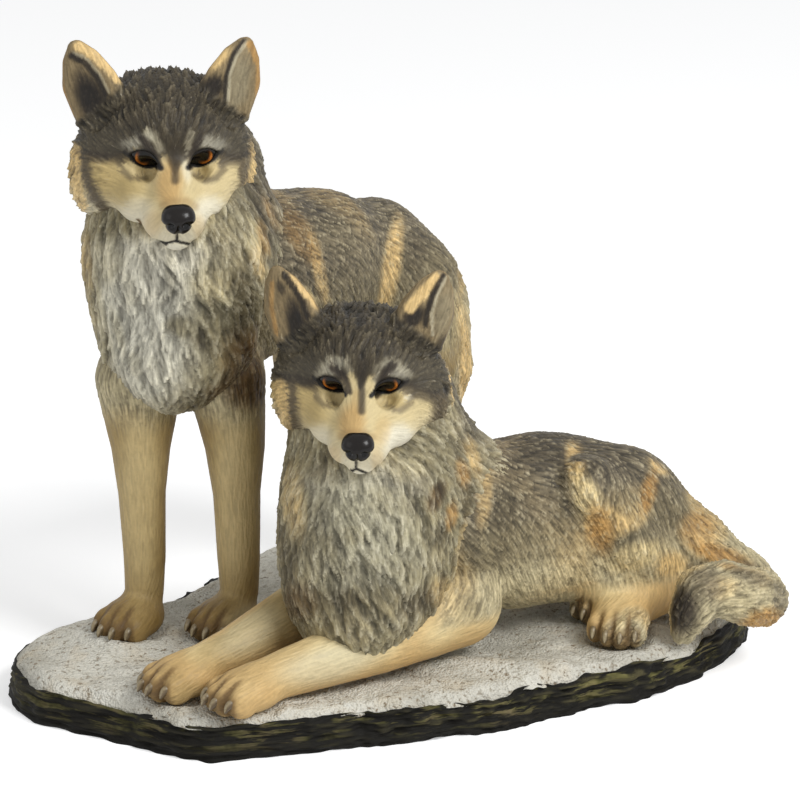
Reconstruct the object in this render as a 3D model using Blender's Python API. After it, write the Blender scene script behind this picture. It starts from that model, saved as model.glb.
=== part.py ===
"""A pair of wolves, one standing and one lying, cast in one piece with a snowy rock base.

Lengths are in metres, +Z up. The viewer stands at -Y, so both wolves look towards -Y.
The wolves are drawn in millimetres in their own directions (forward, left, up), from
tables of rounded forms, and the named sizes below stretch them to the real object.
"""
from math import radians

import bmesh
import bpy
from mathutils import Matrix, Vector

# The base: its plan, the height of the trodden snow, and how far the rock bulges under it
BASE_LENGTH = 0.241
BASE_DEPTH = 0.184
SNOW_HEIGHT = 0.014
ROCK_HEIGHT = 0.0085
SNOW_INSET = 0.005
FOOT_INSET = 0.0012

# How far the slab reaches below the shelf before its underside is cut flat, and the room above it
UNDER_SHELF = 0.004
ROOM = 0.5

# The standing wolf: snow to back, chest to rump, and width over the ribs
STANDING_BACK = 0.136
STANDING_REACH = 0.132
STANDING_WIDTH = 0.046
STANDING_HEAD = 0.060
STANDING_LEG = 0.0145

# The lying wolf: snow to back, chest to rump, and width over the ribs
LYING_BACK = 0.067
LYING_REACH = 0.140
LYING_WIDTH = 0.048
LYING_HEAD = 0.0576
LYING_LEG = 0.0145
LYING_TAIL = 0.018

# Both heads: height of an ear over its root, length of a muzzle, depth of an ear's hollow
EAR_HEIGHT = 0.022
EAR_HOLLOW = 0.0045
MUZZLE_LENGTH = 0.024

# Where each wolf's chest stands on the base, and which way the wolf points, in degrees
STANDING_PLACE = (-0.0623, 0.014)
STANDING_TURN = 236
LYING_PLACE = (0.010, -0.004)
LYING_TURN = 215

# The skin that is laid over the forms: its grain, its rounding and about how many faces it keeps
SKIN_GRAIN = 0.0014
SKIN_PASSES = 6
SKIN_FACES = 10000

# The rock's plan at its widest, in millimetres on a base 241 long and 184 deep
PLAN = [
    (-120, -3), (-115.4, -17.3), (-111.4, -30.4), (-99.2, -37.8), (-78.6, -48.2), (-70.2, -57),
    (-55.7, -65), (-32.1, -59), (5, -49), (29.7, -42), (55.2, -26.5), (81.1, -13.6), (98, 0.5),
    (107, 15), (118, 36), (121, 56), (112, 78), (92, 97), (66, 110), (36, 118), (6, 119),
    (-22, 109), (-42, 90), (-56, 68), (-69, 46), (-84, 33), (-99, 24), (-113, 10),
]
DRAWN_BASE = (241, 184)

# Drifts of snow on the base: (x, y), (half length, half depth), height over the trodden snow
DRIFTS = [
    ((-10, 74), (36, 30), 4.5),
    ((-88, 6), (22, 16), 2.0),
    ((56, 62), (44, 34), 3.6),
    ((-62, -36), (28, 13), 1.6),
    ((34, -20), (30, 9), 2.0),
    ((82, 10), (14, 10), 1.8),
]

# Rounded masses of the standing wolf: (forward, left, up), (half length, half width, half height)
DRAWN_STANDING = (132, 46, 136)
STANDING_MASSES = [
    ((3, -2, 104), (21, 28, 28)),
    ((8, 0, 92), (14, 22, 16)),
    ((4, -1, 124), (22, 30, 26)),
    ((-18, 2, 119), (24, 22, 20)),
    ((-42, 3, 110), (34, 21, 25)),
    ((-70, 4, 106), (28, 18, 22)),
    ((-95, 2, 97), (24, 21, 24)),
    ((-105, 18, 84), (19, 15.5, 30)),
    ((-89, -7, 88), (18, 11, 25)),
    ((-57, 4, 109), (32, 20, 23)),
    ((-30, 2, 114), (26, 21, 23)),
]

# A run is a chain of (forward, left, up), radius; the limbs' radii are for a leg 14.5 thick
STANDING_NECK = [((-5, -3, 126), 27), ((-8.5, -7, 146), 25)]
STANDING_MANE = [((-8, -6, 130), 22), ((-30, 2, 115), 20)]
TOES = [(5.6, -6.6), (8.2, -2.3), (8.2, 2.3), (5.6, 6.6)]
TOE = (5.4, 3.0, 4.8)
PAW = (11, 9.6, 6.8)
STANDING_TAIL = [((-106, 9, 104), 8), ((-116, 16, 86), 10.5), ((-119, 18, 62), 10.5), ((-117, 17, 38), 5)]
DRAWN_LEG = 14.5
STANDING_LEGS = [
    [((8, -13, 84), 14), ((8, -13, 62), 9.5), ((8, -13, 46), 7.6), ((8, -12.5, 24), 6.8),
     ((8, -13, 12), 6.2), ((10, -13, 6), 6)],
    [((-7, 12, 84), 14), ((-8.5, 12, 62), 10), ((-9, 12, 46), 7.6), ((-9, 12.5, 24), 6.9),
     ((-9, 12.5, 12), 6.2), ((-7, 12, 6), 6)],
    [((-93, 16, 78), 15), ((-89, 17, 62), 10.5), ((-113, 16, 38), 6.2), ((-109, 16, 12), 5.7),
     ((-105, 16, 6), 6)],
    [((-81, -8, 78), 15), ((-77, -9, 62), 10.5), ((-101, -8, 38), 6.2), ((-97, -8, 12), 5.7),
     ((-93, -8, 6), 6)],
]
STANDING_PAWS = [(15, -12.5, 5), (-2, 12, 5), (-101, 16, 5), (-89, -8, 5)]

# The same for the lying wolf
DRAWN_LYING = (140, 48, 67)
LYING_MASSES = [
    ((20, 2, 40), (26, 28, 34)),
    ((30, 7, 28), (16, 21, 22)),
    ((-10, 3, 44), (26, 24, 25)),
    ((-36, 2, 36), (36, 23, 28)),
    ((-64, 2, 31), (24, 22, 24)),
    ((-70, 15, 31), (21, 15, 24)),
    ((-68, 21, 13), (13, 9, 10)),
    ((-50, 2, 34), (32, 23, 27)),
]
LYING_NECK = [((16, 1, 57), 27), ((12, -7, 80), 25)]
LYING_MANE = [((7, -2, 67), 21), ((-16, 2, 43), 22)]
LYING_LEGS = [
    [((-74, 11, 35), 17), ((-51, 20, 48), 9.5)],
    [((-51, 21, 50), 8), ((-66, 25, 30), 9.5), ((-83, 25, 12), 7)],
    [((-83, 25, 9), 6.5), ((-60, 29, 7), 6.5)],
    [((-6, 14, 18), 14), ((25, 15, 12), 10), ((55, 12, 8), 7.5), ((66, 12, 7), 6.5)],
    [((2, -14, 24), 14), ((35, -14, 15), 9.5), ((62, -11, 9), 7.2), ((76, -9, 7), 6.5)],
]
LYING_PAWS = [(71, 12, 5.5), (81, -9, 5.5), (-58, 31, 6), (-65, 15, 6.5)]
LYING_RUMP = [((-79, 9, 30), 15), ((-93, 23, 20), 10)]
DRAWN_TAIL = 18
LYING_TAIL_RUN = [
    ((-93, 23, 20), 10), ((-101, 37, 12), 9), ((-99, 48, 8.5), 8.5), ((-92, 53, 13), 8.5),
    ((-83, 52.5, 18), 8.2), ((-75, 51, 18), 7.8), ((-71.5, 50, 12), 6.5), ((-70.5, 48, 4.5), 4),
]

# A head, with its middle between the eyes: masses, then runs, for a head 60 across the cheeks
DRAWN_HEAD = 60
HEAD_MASSES = [
    ((-13, -2.3, 4.5), (20, 22, 17)),
    ((-3, -1.2, 7), (11, 15, 10)),
]
CHEEK_MASSES = [
    ((-11, 15, -7), (15, 12.7, 15)),
    ((-16, 16, -15), (13, 12.5, 13)),
    ((-0.5, 8.5, 4.3), (6, 6.5, 4.3)),
    ((1, 8.5, -12.5), (12, 9.5, 10)),
]
SKULL_SHIFT = -2.3
DRAWN_MUZZLE = 24
MUZZLE_TOP = [((-2, 0, -4.5), 10.5), ((21, 0.4, -12), 5.2)]
MUZZLE_JAW = [((-4, 0, -14), 10), ((16, 0.4, -18.4), 3.8)]
MUZZLE_LIP = ((13, 3.5, -15), (10, 5, 6.5))
MUZZLE_NOSE = ((24.6, 0.4, -11.2), (3.6, 5.2, 4.2))
DRAWN_EAR = 22
EAR_ROOT = 9
EAR_RUN = [((-9, 19.5, 11), 10.5), ((-10.5, 22.5, 20), 8.6), ((-12, 25.8, 29.5), 2.6)]
EAR_FLATTEN = 0.42
EAR_RIM = 2.6
EAR_AXIS = (1, 0.25, 0)

# Where each head's middle is, from the wolf's place, in millimetres, and how it is turned
STANDING_FACE = (-2.5, -14, 160.3)
STANDING_GAZE = (-84, 9)
LYING_FACE = (-15.6, -26, 96.4)
LYING_GAZE = (-96, 9)

MM = 0.001


def clear_scene():
    """Removes what the new file starts with."""
    for ob in list(bpy.data.objects):
        bpy.data.objects.remove(ob, do_unlink=True)


def wolf_frame(place, turn, stretch):
    """Matrix from a wolf's drawn (forward, left, up) to the world, on the trodden snow."""
    move = Matrix.Translation((place[0], place[1], SNOW_HEIGHT))
    spin = Matrix.Rotation(radians(turn), 4, "Z")
    return move @ spin @ Matrix.Diagonal((*[s * MM for s in stretch], 1))


def head_frame(place, face, gaze, stretch, size):
    """Matrix from a head's drawn (forward, left, up) to the world."""
    x = place[0] + face[0] * MM
    y = place[1] + face[1] * MM
    z = SNOW_HEIGHT + face[2] * MM * stretch
    turn = Matrix.Rotation(radians(gaze[0]), 4, "Z") @ Matrix.Rotation(radians(gaze[1]), 4, "Y")
    return Matrix.Translation((x, y, z)) @ turn @ Matrix.Scale(size * MM, 4)


def add_mass(mesh, frame, centre, radii):
    """Adds one ellipsoid."""
    shape = frame @ Matrix.Translation(centre) @ Matrix.Diagonal((*radii, 1))
    bmesh.ops.create_icosphere(mesh, subdivisions=4, radius=1, matrix=shape)


def add_link(mesh, frame, start, end, flatten=1.0, axis=(1, 0, 0), fineness=3):
    """Adds the hull of two balls, flattened along an axis across it when asked."""
    squash = Matrix.Scale(flatten, 4, Vector(axis).normalized())
    link = bmesh.new()
    for centre, radius in (start, end):
        shape = frame @ Matrix.Translation(centre) @ squash @ Matrix.Scale(radius, 4)
        bmesh.ops.create_icosphere(link, subdivisions=fineness, radius=1, matrix=shape)
    hull = bmesh.ops.convex_hull(link, input=link.verts[:], use_existing_faces=False)
    kept = set(hull["geom"])
    spare = [face for face in link.faces if face not in kept]
    bmesh.ops.delete(link, geom=spare, context="FACES")
    data = bpy.data.meshes.new("link")
    link.to_mesh(data)
    link.free()
    mesh.from_mesh(data)
    bpy.data.meshes.remove(data)


def add_run(mesh, frame, run, thick=1.0):
    """Adds a chain of hulls through balls whose radii are multiplied by thick."""
    for (a, ra), (b, rb) in zip(run, run[1:]):
        add_link(mesh, frame, (a, ra * thick), (b, rb * thick))


def mirrored(point, side, shift=0.0):
    """A drawn point on the left, or its twin on the right, about a shifted middle."""
    return (point[0], shift + side * point[1], point[2])


def curve_through(points, steps):
    """Closed Catmull-Rom curve through points, with the given steps between each two."""
    curve = []
    for i, p1 in enumerate(points):
        p0 = Vector(points[i - 1])
        p1 = Vector(p1)
        p2 = Vector(points[(i + 1) % len(points)])
        p3 = Vector(points[(i + 2) % len(points)])
        for k in range(steps):
            t = k / steps
            bend = (2 * p0 - 5 * p1 + 4 * p2 - p3) * t * t + (3 * p1 - p0 - 3 * p2 + p3) * t ** 3
            curve.append((2 * p1 + (p2 - p0) * t + bend) / 2)
    return curve


def add_base(mesh):
    """Adds the slab: rock that bulges at its middle height and snow drawn in at the top."""
    wide = BASE_LENGTH / (DRAWN_BASE[0] * MM)
    deep = BASE_DEPTH / (DRAWN_BASE[1] * MM)
    plan = curve_through(PLAN, 6)
    middle = sum(plan, Vector((0, 0))) / len(plan)
    levels = [
        (-UNDER_SHELF, FOOT_INSET), (0.0, FOOT_INSET), (0.25 * ROCK_HEIGHT, 0.0),
        (ROCK_HEIGHT, 0.1 * SNOW_INSET), ((ROCK_HEIGHT + SNOW_HEIGHT) / 2, 0.45 * SNOW_INSET),
        (SNOW_HEIGHT, SNOW_INSET),
    ]
    rings = []
    for height, inset in levels:
        ring = []
        for point in plan:
            away = point - middle
            drawn = middle + away * (1 - inset / MM / away.length)
            ring.append(mesh.verts.new((drawn.x * wide * MM, drawn.y * deep * MM, height)))
        rings.append(ring)
    for low, high in zip(rings, rings[1:]):
        for i in range(len(low)):
            j = (i + 1) % len(low)
            mesh.faces.new((low[i], low[j], high[j], high[i]))
    mesh.faces.new(list(reversed(rings[0])))
    mesh.faces.new(rings[-1])
    for (x, y), (half_x, half_y), rise in DRIFTS:
        radii = (half_x * wide, half_y * deep, 2 * rise)
        ground = Matrix.Translation((x * wide * MM, y * deep * MM, SNOW_HEIGHT - rise * MM))
        add_mass(mesh, ground @ Matrix.Scale(MM, 4), (0, 0, 0), radii)


def add_head(solid, hollows, frame):
    """Adds a head to the solid, and its ears' hollows to the cutters."""
    for centre, radii in HEAD_MASSES:
        add_mass(solid, frame, centre, radii)
    reach = MUZZLE_LENGTH / (DRAWN_MUZZLE * MM)
    stretch = frame @ Matrix.Diagonal((reach, 1, 1, 1))
    add_run(solid, stretch, MUZZLE_TOP)
    add_run(solid, stretch, MUZZLE_JAW)
    add_mass(solid, stretch, *MUZZLE_NOSE)
    rise = EAR_HEIGHT / (DRAWN_EAR * MM)
    for side in (-1, 1):
        for centre, radii in CHEEK_MASSES:
            add_mass(solid, frame, mirrored(centre, side, SKULL_SHIFT if centre[0] < -5 else 0), radii)
        add_mass(solid, stretch, mirrored(MUZZLE_LIP[0], side), MUZZLE_LIP[1])
        axis = mirrored(EAR_AXIS, side)
        ear = []
        for (x, y, z), radius in EAR_RUN:
            point = (x, y, EAR_ROOT + (z - EAR_ROOT) * rise)
            ear.append((mirrored(point, side, SKULL_SHIFT), radius))
        for start, end in zip(ear, ear[1:]):
            add_link(solid, frame, start, end, EAR_FLATTEN, axis)
        hollow = bmesh.new()
        inner = []
        for centre, radius in ear:
            ahead = Vector(centre) + Vector(axis).normalized() * (EAR_HOLLOW / MM)
            inner.append((tuple(ahead), max(radius - EAR_RIM, 0.8)))
        for start, end in zip(inner, inner[1:]):
            add_link(hollow, frame, start, end, EAR_FLATTEN, axis, 2)
        hollows.append(hollow)


def add_wolf(mesh, frame, thick, masses, neck, legs, paws):
    """Adds the masses, neck, legs and paws of one wolf."""
    for centre, radii in masses:
        add_mass(mesh, frame, centre, radii)
    add_run(mesh, frame, neck)
    for leg in legs:
        add_run(mesh, frame, leg, thick)
    for x, y, z in paws:
        add_mass(mesh, frame, (x, y, z), [r * thick for r in PAW])
        for ahead, aside in TOES:
            add_mass(mesh, frame, (x + ahead * thick, y + aside * thick, z - 1), [r * thick for r in TOE])


def make_object(name, mesh):
    """Turns a bmesh into an object with faces that point out."""
    bmesh.ops.recalc_face_normals(mesh, faces=mesh.faces)
    data = bpy.data.meshes.new(name)
    mesh.to_mesh(data)
    mesh.free()
    ob = bpy.data.objects.new(name, data)
    bpy.context.scene.collection.objects.link(ob)
    return ob


def make_guide(name, mesh):
    """An object that only cuts or bounds another."""
    ob = make_object(name, mesh)
    ob.hide_render = True
    ob.display_type = "WIRE"
    return ob


def painted(name, colour, roughness):
    """A plain painted surface."""
    material = bpy.data.materials.new(name)
    material.use_nodes = True
    shader = material.node_tree.nodes["Principled BSDF"]
    shader.inputs["Base Color"].default_value = (*colour, 1)
    shader.inputs["Roughness"].default_value = roughness
    shader.inputs["Metallic"].default_value = 0
    return material


def main():
    clear_scene()
    solid = bmesh.new()
    hollows = []
    add_base(solid)

    tall = STANDING_BACK / (DRAWN_STANDING[2] * MM)
    stretch = (STANDING_REACH / (DRAWN_STANDING[0] * MM), STANDING_WIDTH / (DRAWN_STANDING[1] * MM), tall)
    frame = wolf_frame(STANDING_PLACE, STANDING_TURN, stretch)
    thick = STANDING_LEG / (DRAWN_LEG * MM)
    add_wolf(solid, frame, thick, STANDING_MASSES, STANDING_NECK, STANDING_LEGS, STANDING_PAWS)
    add_run(solid, frame, STANDING_MANE)
    add_run(solid, frame, STANDING_TAIL)
    size = STANDING_HEAD / (DRAWN_HEAD * MM)
    add_head(solid, hollows, head_frame(STANDING_PLACE, STANDING_FACE, STANDING_GAZE, tall, size))

    tall = LYING_BACK / (DRAWN_LYING[2] * MM)
    stretch = (LYING_REACH / (DRAWN_LYING[0] * MM), LYING_WIDTH / (DRAWN_LYING[1] * MM), tall)
    frame = wolf_frame(LYING_PLACE, LYING_TURN, stretch)
    thick = LYING_LEG / (DRAWN_LEG * MM)
    add_wolf(solid, frame, thick, LYING_MASSES, LYING_NECK, LYING_LEGS, LYING_PAWS)
    add_run(solid, frame, LYING_MANE)
    add_run(solid, frame, LYING_RUMP)
    add_run(solid, frame, LYING_TAIL_RUN, LYING_TAIL / (DRAWN_TAIL * MM))
    size = LYING_HEAD / (DRAWN_HEAD * MM)
    add_head(solid, hollows, head_frame(LYING_PLACE, LYING_FACE, LYING_GAZE, tall, size))

    figure = make_object("wolf_figurine", solid)
    figure.data.materials.append(painted("painted cast stone", (0.42, 0.36, 0.27), 0.72))

    skin = figure.modifiers.new("skin", "REMESH")
    skin.mode = "VOXEL"
    skin.voxel_size = SKIN_GRAIN
    soft = figure.modifiers.new("soften", "SMOOTH")
    soft.factor = 0.5
    soft.iterations = SKIN_PASSES
    bpy.context.view_layer.update()
    graph = bpy.context.evaluated_depsgraph_get()
    fine = len(figure.evaluated_get(graph).data.polygons) * 2
    fewer = figure.modifiers.new("fewer faces", "DECIMATE")
    fewer.ratio = SKIN_FACES / fine

    guides = []
    for i, hollow in enumerate(hollows):
        guides.append(make_guide(f"hollow_{i}", hollow))
        cut = figure.modifiers.new(f"hollow {i}", "BOOLEAN")
        cut.operation = "DIFFERENCE"
        cut.object = guides[-1]
    ground = bmesh.new()
    room = Matrix.Translation((0, 0, ROOM / 2)) @ Matrix.Scale(ROOM, 4)
    bmesh.ops.create_cube(ground, size=1, matrix=room @ Matrix.Diagonal((2, 2, 1, 1)))
    guides.append(make_guide("above_the_shelf", ground))
    trim = figure.modifiers.new("flat underside", "BOOLEAN")
    trim.operation = "INTERSECT"
    trim.object = guides[-1]

    # The model's middle goes over the origin, so the figure and its guides move together
    bpy.context.view_layer.update()
    graph = bpy.context.evaluated_depsgraph_get()
    verts = [v.co for v in figure.evaluated_get(graph).data.vertices]
    shift = Vector((0, 0, 0))
    for k in (0, 1):
        shift[k] = -(min(v[k] for v in verts) + max(v[k] for v in verts)) / 2
    for ob in [figure, *guides]:
        ob.location = shift
    bpy.context.view_layer.update()


main()
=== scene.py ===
"""Two painted wolves, one standing and one lying, cast in one piece with a snowy rock."""
from types import SimpleNamespace
import bpy
import numpy as np
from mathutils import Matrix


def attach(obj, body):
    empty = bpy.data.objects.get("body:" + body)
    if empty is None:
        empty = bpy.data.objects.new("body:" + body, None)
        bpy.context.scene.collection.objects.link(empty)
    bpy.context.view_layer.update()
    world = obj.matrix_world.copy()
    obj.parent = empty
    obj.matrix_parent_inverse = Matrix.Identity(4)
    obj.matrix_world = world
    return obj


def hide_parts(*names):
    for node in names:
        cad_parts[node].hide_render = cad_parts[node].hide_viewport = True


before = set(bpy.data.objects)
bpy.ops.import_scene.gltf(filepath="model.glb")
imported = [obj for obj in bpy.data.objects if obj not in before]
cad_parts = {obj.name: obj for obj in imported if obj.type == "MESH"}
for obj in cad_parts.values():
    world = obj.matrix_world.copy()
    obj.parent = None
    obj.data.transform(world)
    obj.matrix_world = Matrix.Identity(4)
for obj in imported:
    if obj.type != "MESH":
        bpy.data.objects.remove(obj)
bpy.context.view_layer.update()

bl_info = {
    "name": "Painted wolf pair",
    "version": (1, 0, 0),
    "blender": (4, 5, 0),
    "location": "3D View > Sidebar > Wolves",
    "description": "Dresses a cast pair of wolves on a snowy rock",
    "category": "Object",
}

# Drawings are in millimetres; the cast part's middle lies this far from the drawing's origin
MM = 0.001
SHIFT = np.array((-3.5228, -26.8742, 0.0))
GROUND = 14.0

# The rock's plan at its widest, and its middle
PLAN = [
    (-120, -3), (-115.4, -17.3), (-111.4, -30.4), (-99.2, -37.8), (-78.6, -48.2), (-70.2, -57),
    (-55.7, -65), (-32.1, -59), (5, -49), (29.7, -42), (55.2, -26.5), (81.1, -13.6), (98, 0.5),
    (107, 15), (118, 36), (121, 56), (112, 78), (92, 97), (66, 110), (36, 118), (6, 119),
    (-22, 109), (-42, 90), (-56, 68), (-69, 46), (-84, 33), (-99, 24), (-113, 10),
]
PLAN_MIDDLE = np.array((0.0, 30.0))
ROUNDING = np.radians((-4, -2, 0, 2, 4))

# Drifts of snow: (x, y), (half length, half depth), height over the trodden snow
DRIFTS = [
    ((-10, 74), (40, 34), 4.5),
    ((-88, 6), (24, 18), 2.2),
    ((56, 62), (48, 38), 3.6),
    ((-62, -36), (28, 13), 1.6),
    ((34, -20), (30, 10), 2.4),
    ((82, 10), (16, 12), 2.2),
]

# Rounded masses of the standing wolf: (forward, left, up), (half length, half width, half height)
STANDING_CHEST = [
    ((3, -2, 105), (21, 27.5, 26)),
    ((8, -1, 93), (14, 17, 16)),
    ((4, -1, 124), (22, 30, 26)),
]
STANDING_TRUNK = [
    ((-18, 2, 119), (24, 22, 20)),
    ((-18, 2, 104), (22, 19, 22)),
    ((-42, 3, 110), (34, 21, 25)),
    ((-70, 4, 106), (28, 18, 22)),
    ((-95, 5, 99), (23, 20, 24.5)),
    ((-105, 17, 82), (19, 15.5, 27)),
    ((-89, -7, 88), (18, 11, 25)),
    ((-57, 4, 109), (32, 20, 23)),
    ((-30, 2, 114), (26, 21, 23)),
]
STANDING_NECK = [((-5, -3, 126), 27), ((-8.5, -7, 146), 25)]
STANDING_MANE = [((-8, -6, 130), 22), ((-30, 2, 115), 20)]
STANDING_TAIL = [((-106, 9, 104), 8), ((-116, 16, 86), 10.5), ((-119, 18, 62), 10.5), ((-117, 17, 38), 5)]
STANDING_LEGS = [
    [((8, -13, 84), 14), ((8, -13, 62), 9.5), ((8, -13, 46), 7.6), ((8, -12.5, 24), 6.8),
     ((8, -13, 12), 6.2), ((10, -13, 6), 6)],
    [((-7, 10, 84), 12.5), ((-8.5, 12, 62), 9.6), ((-9, 12, 46), 7.6), ((-9, 12.5, 24), 6.9),
     ((-9, 12.5, 12), 6.2), ((-7, 12, 6), 6)],
    [((-93, 16, 78), 15), ((-89, 17, 62), 10.5), ((-113, 16, 38), 6.2), ((-109, 16, 12), 5.7),
     ((-105, 16, 6), 6)],
    [((-81, -8, 78), 15), ((-77, -9, 62), 10.5), ((-101, -8, 38), 6.2), ((-97, -8, 12), 5.7),
     ((-93, -8, 6), 6)],
]
# A paw: (forward, left, up) and the way its toes point from the wolf's own way, in degrees
STANDING_PAWS = [((15, -12.5, 5), 0), ((-2, 12, 5), 0), ((-101, 16, 5), 0), ((-89, -8, 5), 0)]

# The same for the lying wolf
LYING_CHEST = [
    ((20, 2, 40), (26, 28, 34)),
    ((30, 7, 28), (16, 21, 22)),
]
LYING_TRUNK = [
    ((-10, 3, 44), (26, 24, 25)),
    ((-36, 2, 35.5), (36, 23, 27)),
    ((-64, 2, 31), (24, 22, 24)),
    ((-70, 15, 33), (21, 15, 24.5)),
    ((-68, 21, 13), (13, 9, 10)),
    ((-50, 2, 33.5), (32, 23, 26)),
]
LYING_NECK = [((16, 1, 57), 27), ((12, -7, 80), 25)]
LYING_MANE = [((7, -2, 67), 21), ((-16, 2, 43), 22)]
LYING_LEGS = [
    [((-74, 11, 36), 17.5), ((-51, 22, 49), 9.5)],
    [((-51, 23, 50), 8), ((-66, 26, 30), 9.5), ((-83, 25, 12), 7)],
    [((-83, 25, 9), 6.5), ((-60, 29, 7), 6.5)],
    [((-6, 14, 18), 14), ((25, 15, 12), 10), ((55, 12, 8), 7.5), ((66, 12, 7), 6.5)],
    [((2, -14, 24), 14), ((35, -14, 15), 9.5), ((62, -11, 9), 7.2), ((76, -9, 7), 6.5)],
]
LYING_PAWS = [((71, 12, 5.5), 0), ((81, -9, 5.5), 0), ((-58, 31, 6), 42), ((-65, 15, 6.5), 30)]
LYING_RUMP = [((-80, 10, 32), 16), ((-92, 23, 22), 12.5)]
LYING_TAIL = [
    ((-93, 23, 20), 11), ((-102.5, 37, 13), 9.8), ((-101, 49, 9.5), 9.2), ((-93, 53, 13.5), 9.2),
    ((-83, 52.5, 18), 8.8), ((-75, 51, 18), 8), ((-71.5, 50, 12), 6.5), ((-70.5, 48, 4.5), 4),
]

# A paw's toes from its middle, and their half sizes
TOES = [(5.6, -6.6), (8.2, -2.3), (8.2, 2.3), (5.6, 6.6)]
TOE = (5.4, 3.0, 4.8)
PAW = (11, 9.6, 6.8)

# A head, with its middle between the eyes
STANDING_SKULL = ((-13, -2.3, 4.2), (20, 22, 15.8))
LYING_SKULL = ((-13, -2.3, 3.2), (20, 22, 13.4))
BROW_MASS = ((-3, -1.2, 6.6), (11, 15, 9.6))
CHEEK_MASSES = [
    ((-11, 15, -7), (15, 12.7, 15)),
    ((-16, 16, -15), (13, 12.5, 13)),
    ((-0.5, 8.5, 4.3), (6, 6.5, 4.3)),
    ((1, 8.5, -12.5), (12, 9.5, 10)),
]
SKULL_SHIFT = -2.3
MUZZLE_TOP = [((-2, 0, -4.5), 10.5), ((21, 0.6, -12.6), 5.2)]
MUZZLE_JAW = [((-4, 0, -15), 11), ((14.6, 0.6, -20.4), 5.7)]
MUZZLE_LIP = ((13, 4.4, -15.6), (9.5, 5.6, 6.8))
EYE_HOLLOW = ((6.5, 7.5, -3.5), (4.2, 3.6, 3.4))
EAR_RUN = [
    ((-9, 18.5, 11.5), 9.5), ((-10.3, 21.5, 18), 9), ((-11.2, 23.6, 24), 6.6), ((-12, 25.4, 29), 3.2),
]
EAR_FLATTEN = 0.42
EAR_RIM = 3.0
EAR_HOLLOW = 4.2
NOSE_MIDDLE = (24.4, 0.9, -12.4)
NOSE_SIZE = (4.0, 5.2, 4.5)
NOSE_SHADE = (0.01, 0.01, 0.01)

# The mouth's line and the cleft over it, right and up on the sheet before a face
MOUTH = [(-6.4, -25.4), (-2.6, -26.4), (0.4, -25.0), (3.4, -26.3), (6.8, -25.9)]
CLEFT = [(0.4, -21), (0.4, -25)]

# How far off a form its depth is still worked out, how often a net is evened, and how far the chests'
# fur stands out over the trunks
FAR = 8.0
EVENINGS = 2
RUFF_SWELL = 0.9


def unit(vectors):
    """Each vector divided by its own length."""
    vectors = np.asarray(vectors, float)
    return vectors / (np.linalg.norm(vectors, axis=-1, keepdims=True) + 1e-12)


def ease(low, high, value):
    """0 below low, 1 above high, and an S-shaped cubic between them."""
    t = np.clip((value - low) / (high - low), 0, 1)
    return t * t * (3 - 2 * t)


def turned(yaw, pitch=0.0):
    """Columns forward, left and up, turned by yaw about up and then nodded down by pitch, in degrees."""
    y, p = np.radians((yaw, pitch))
    about_up = np.array(((np.cos(y), -np.sin(y), 0), (np.sin(y), np.cos(y), 0), (0, 0, 1)))
    nod = np.array(((np.cos(p), 0, np.sin(p)), (0, 1, 0), (-np.sin(p), 0, np.cos(p))))
    return about_up @ nod


class Seat:
    """Where a wolf or a head sits: its own axes, its origin and its scale."""

    def __init__(self, axes, origin, scale=1.0):
        self.axes = axes
        self.origin = np.asarray(origin, float)
        self.scale = scale

    def out(self, points):
        """Own coordinates times the scale, along the own axes, from the origin."""
        return (np.asarray(points, float) * self.scale) @ self.axes.T + self.origin

    def own(self, points):
        """The reverse of out."""
        return ((points - self.origin) @ self.axes) / self.scale


def nearer(a, b, blend):
    """The smaller of two depths, rounded where they lie within blend of each other."""
    h = np.maximum(blend - np.abs(a - b), 0) / blend
    return np.minimum(a, b) - h * h * blend * 0.25


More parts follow.
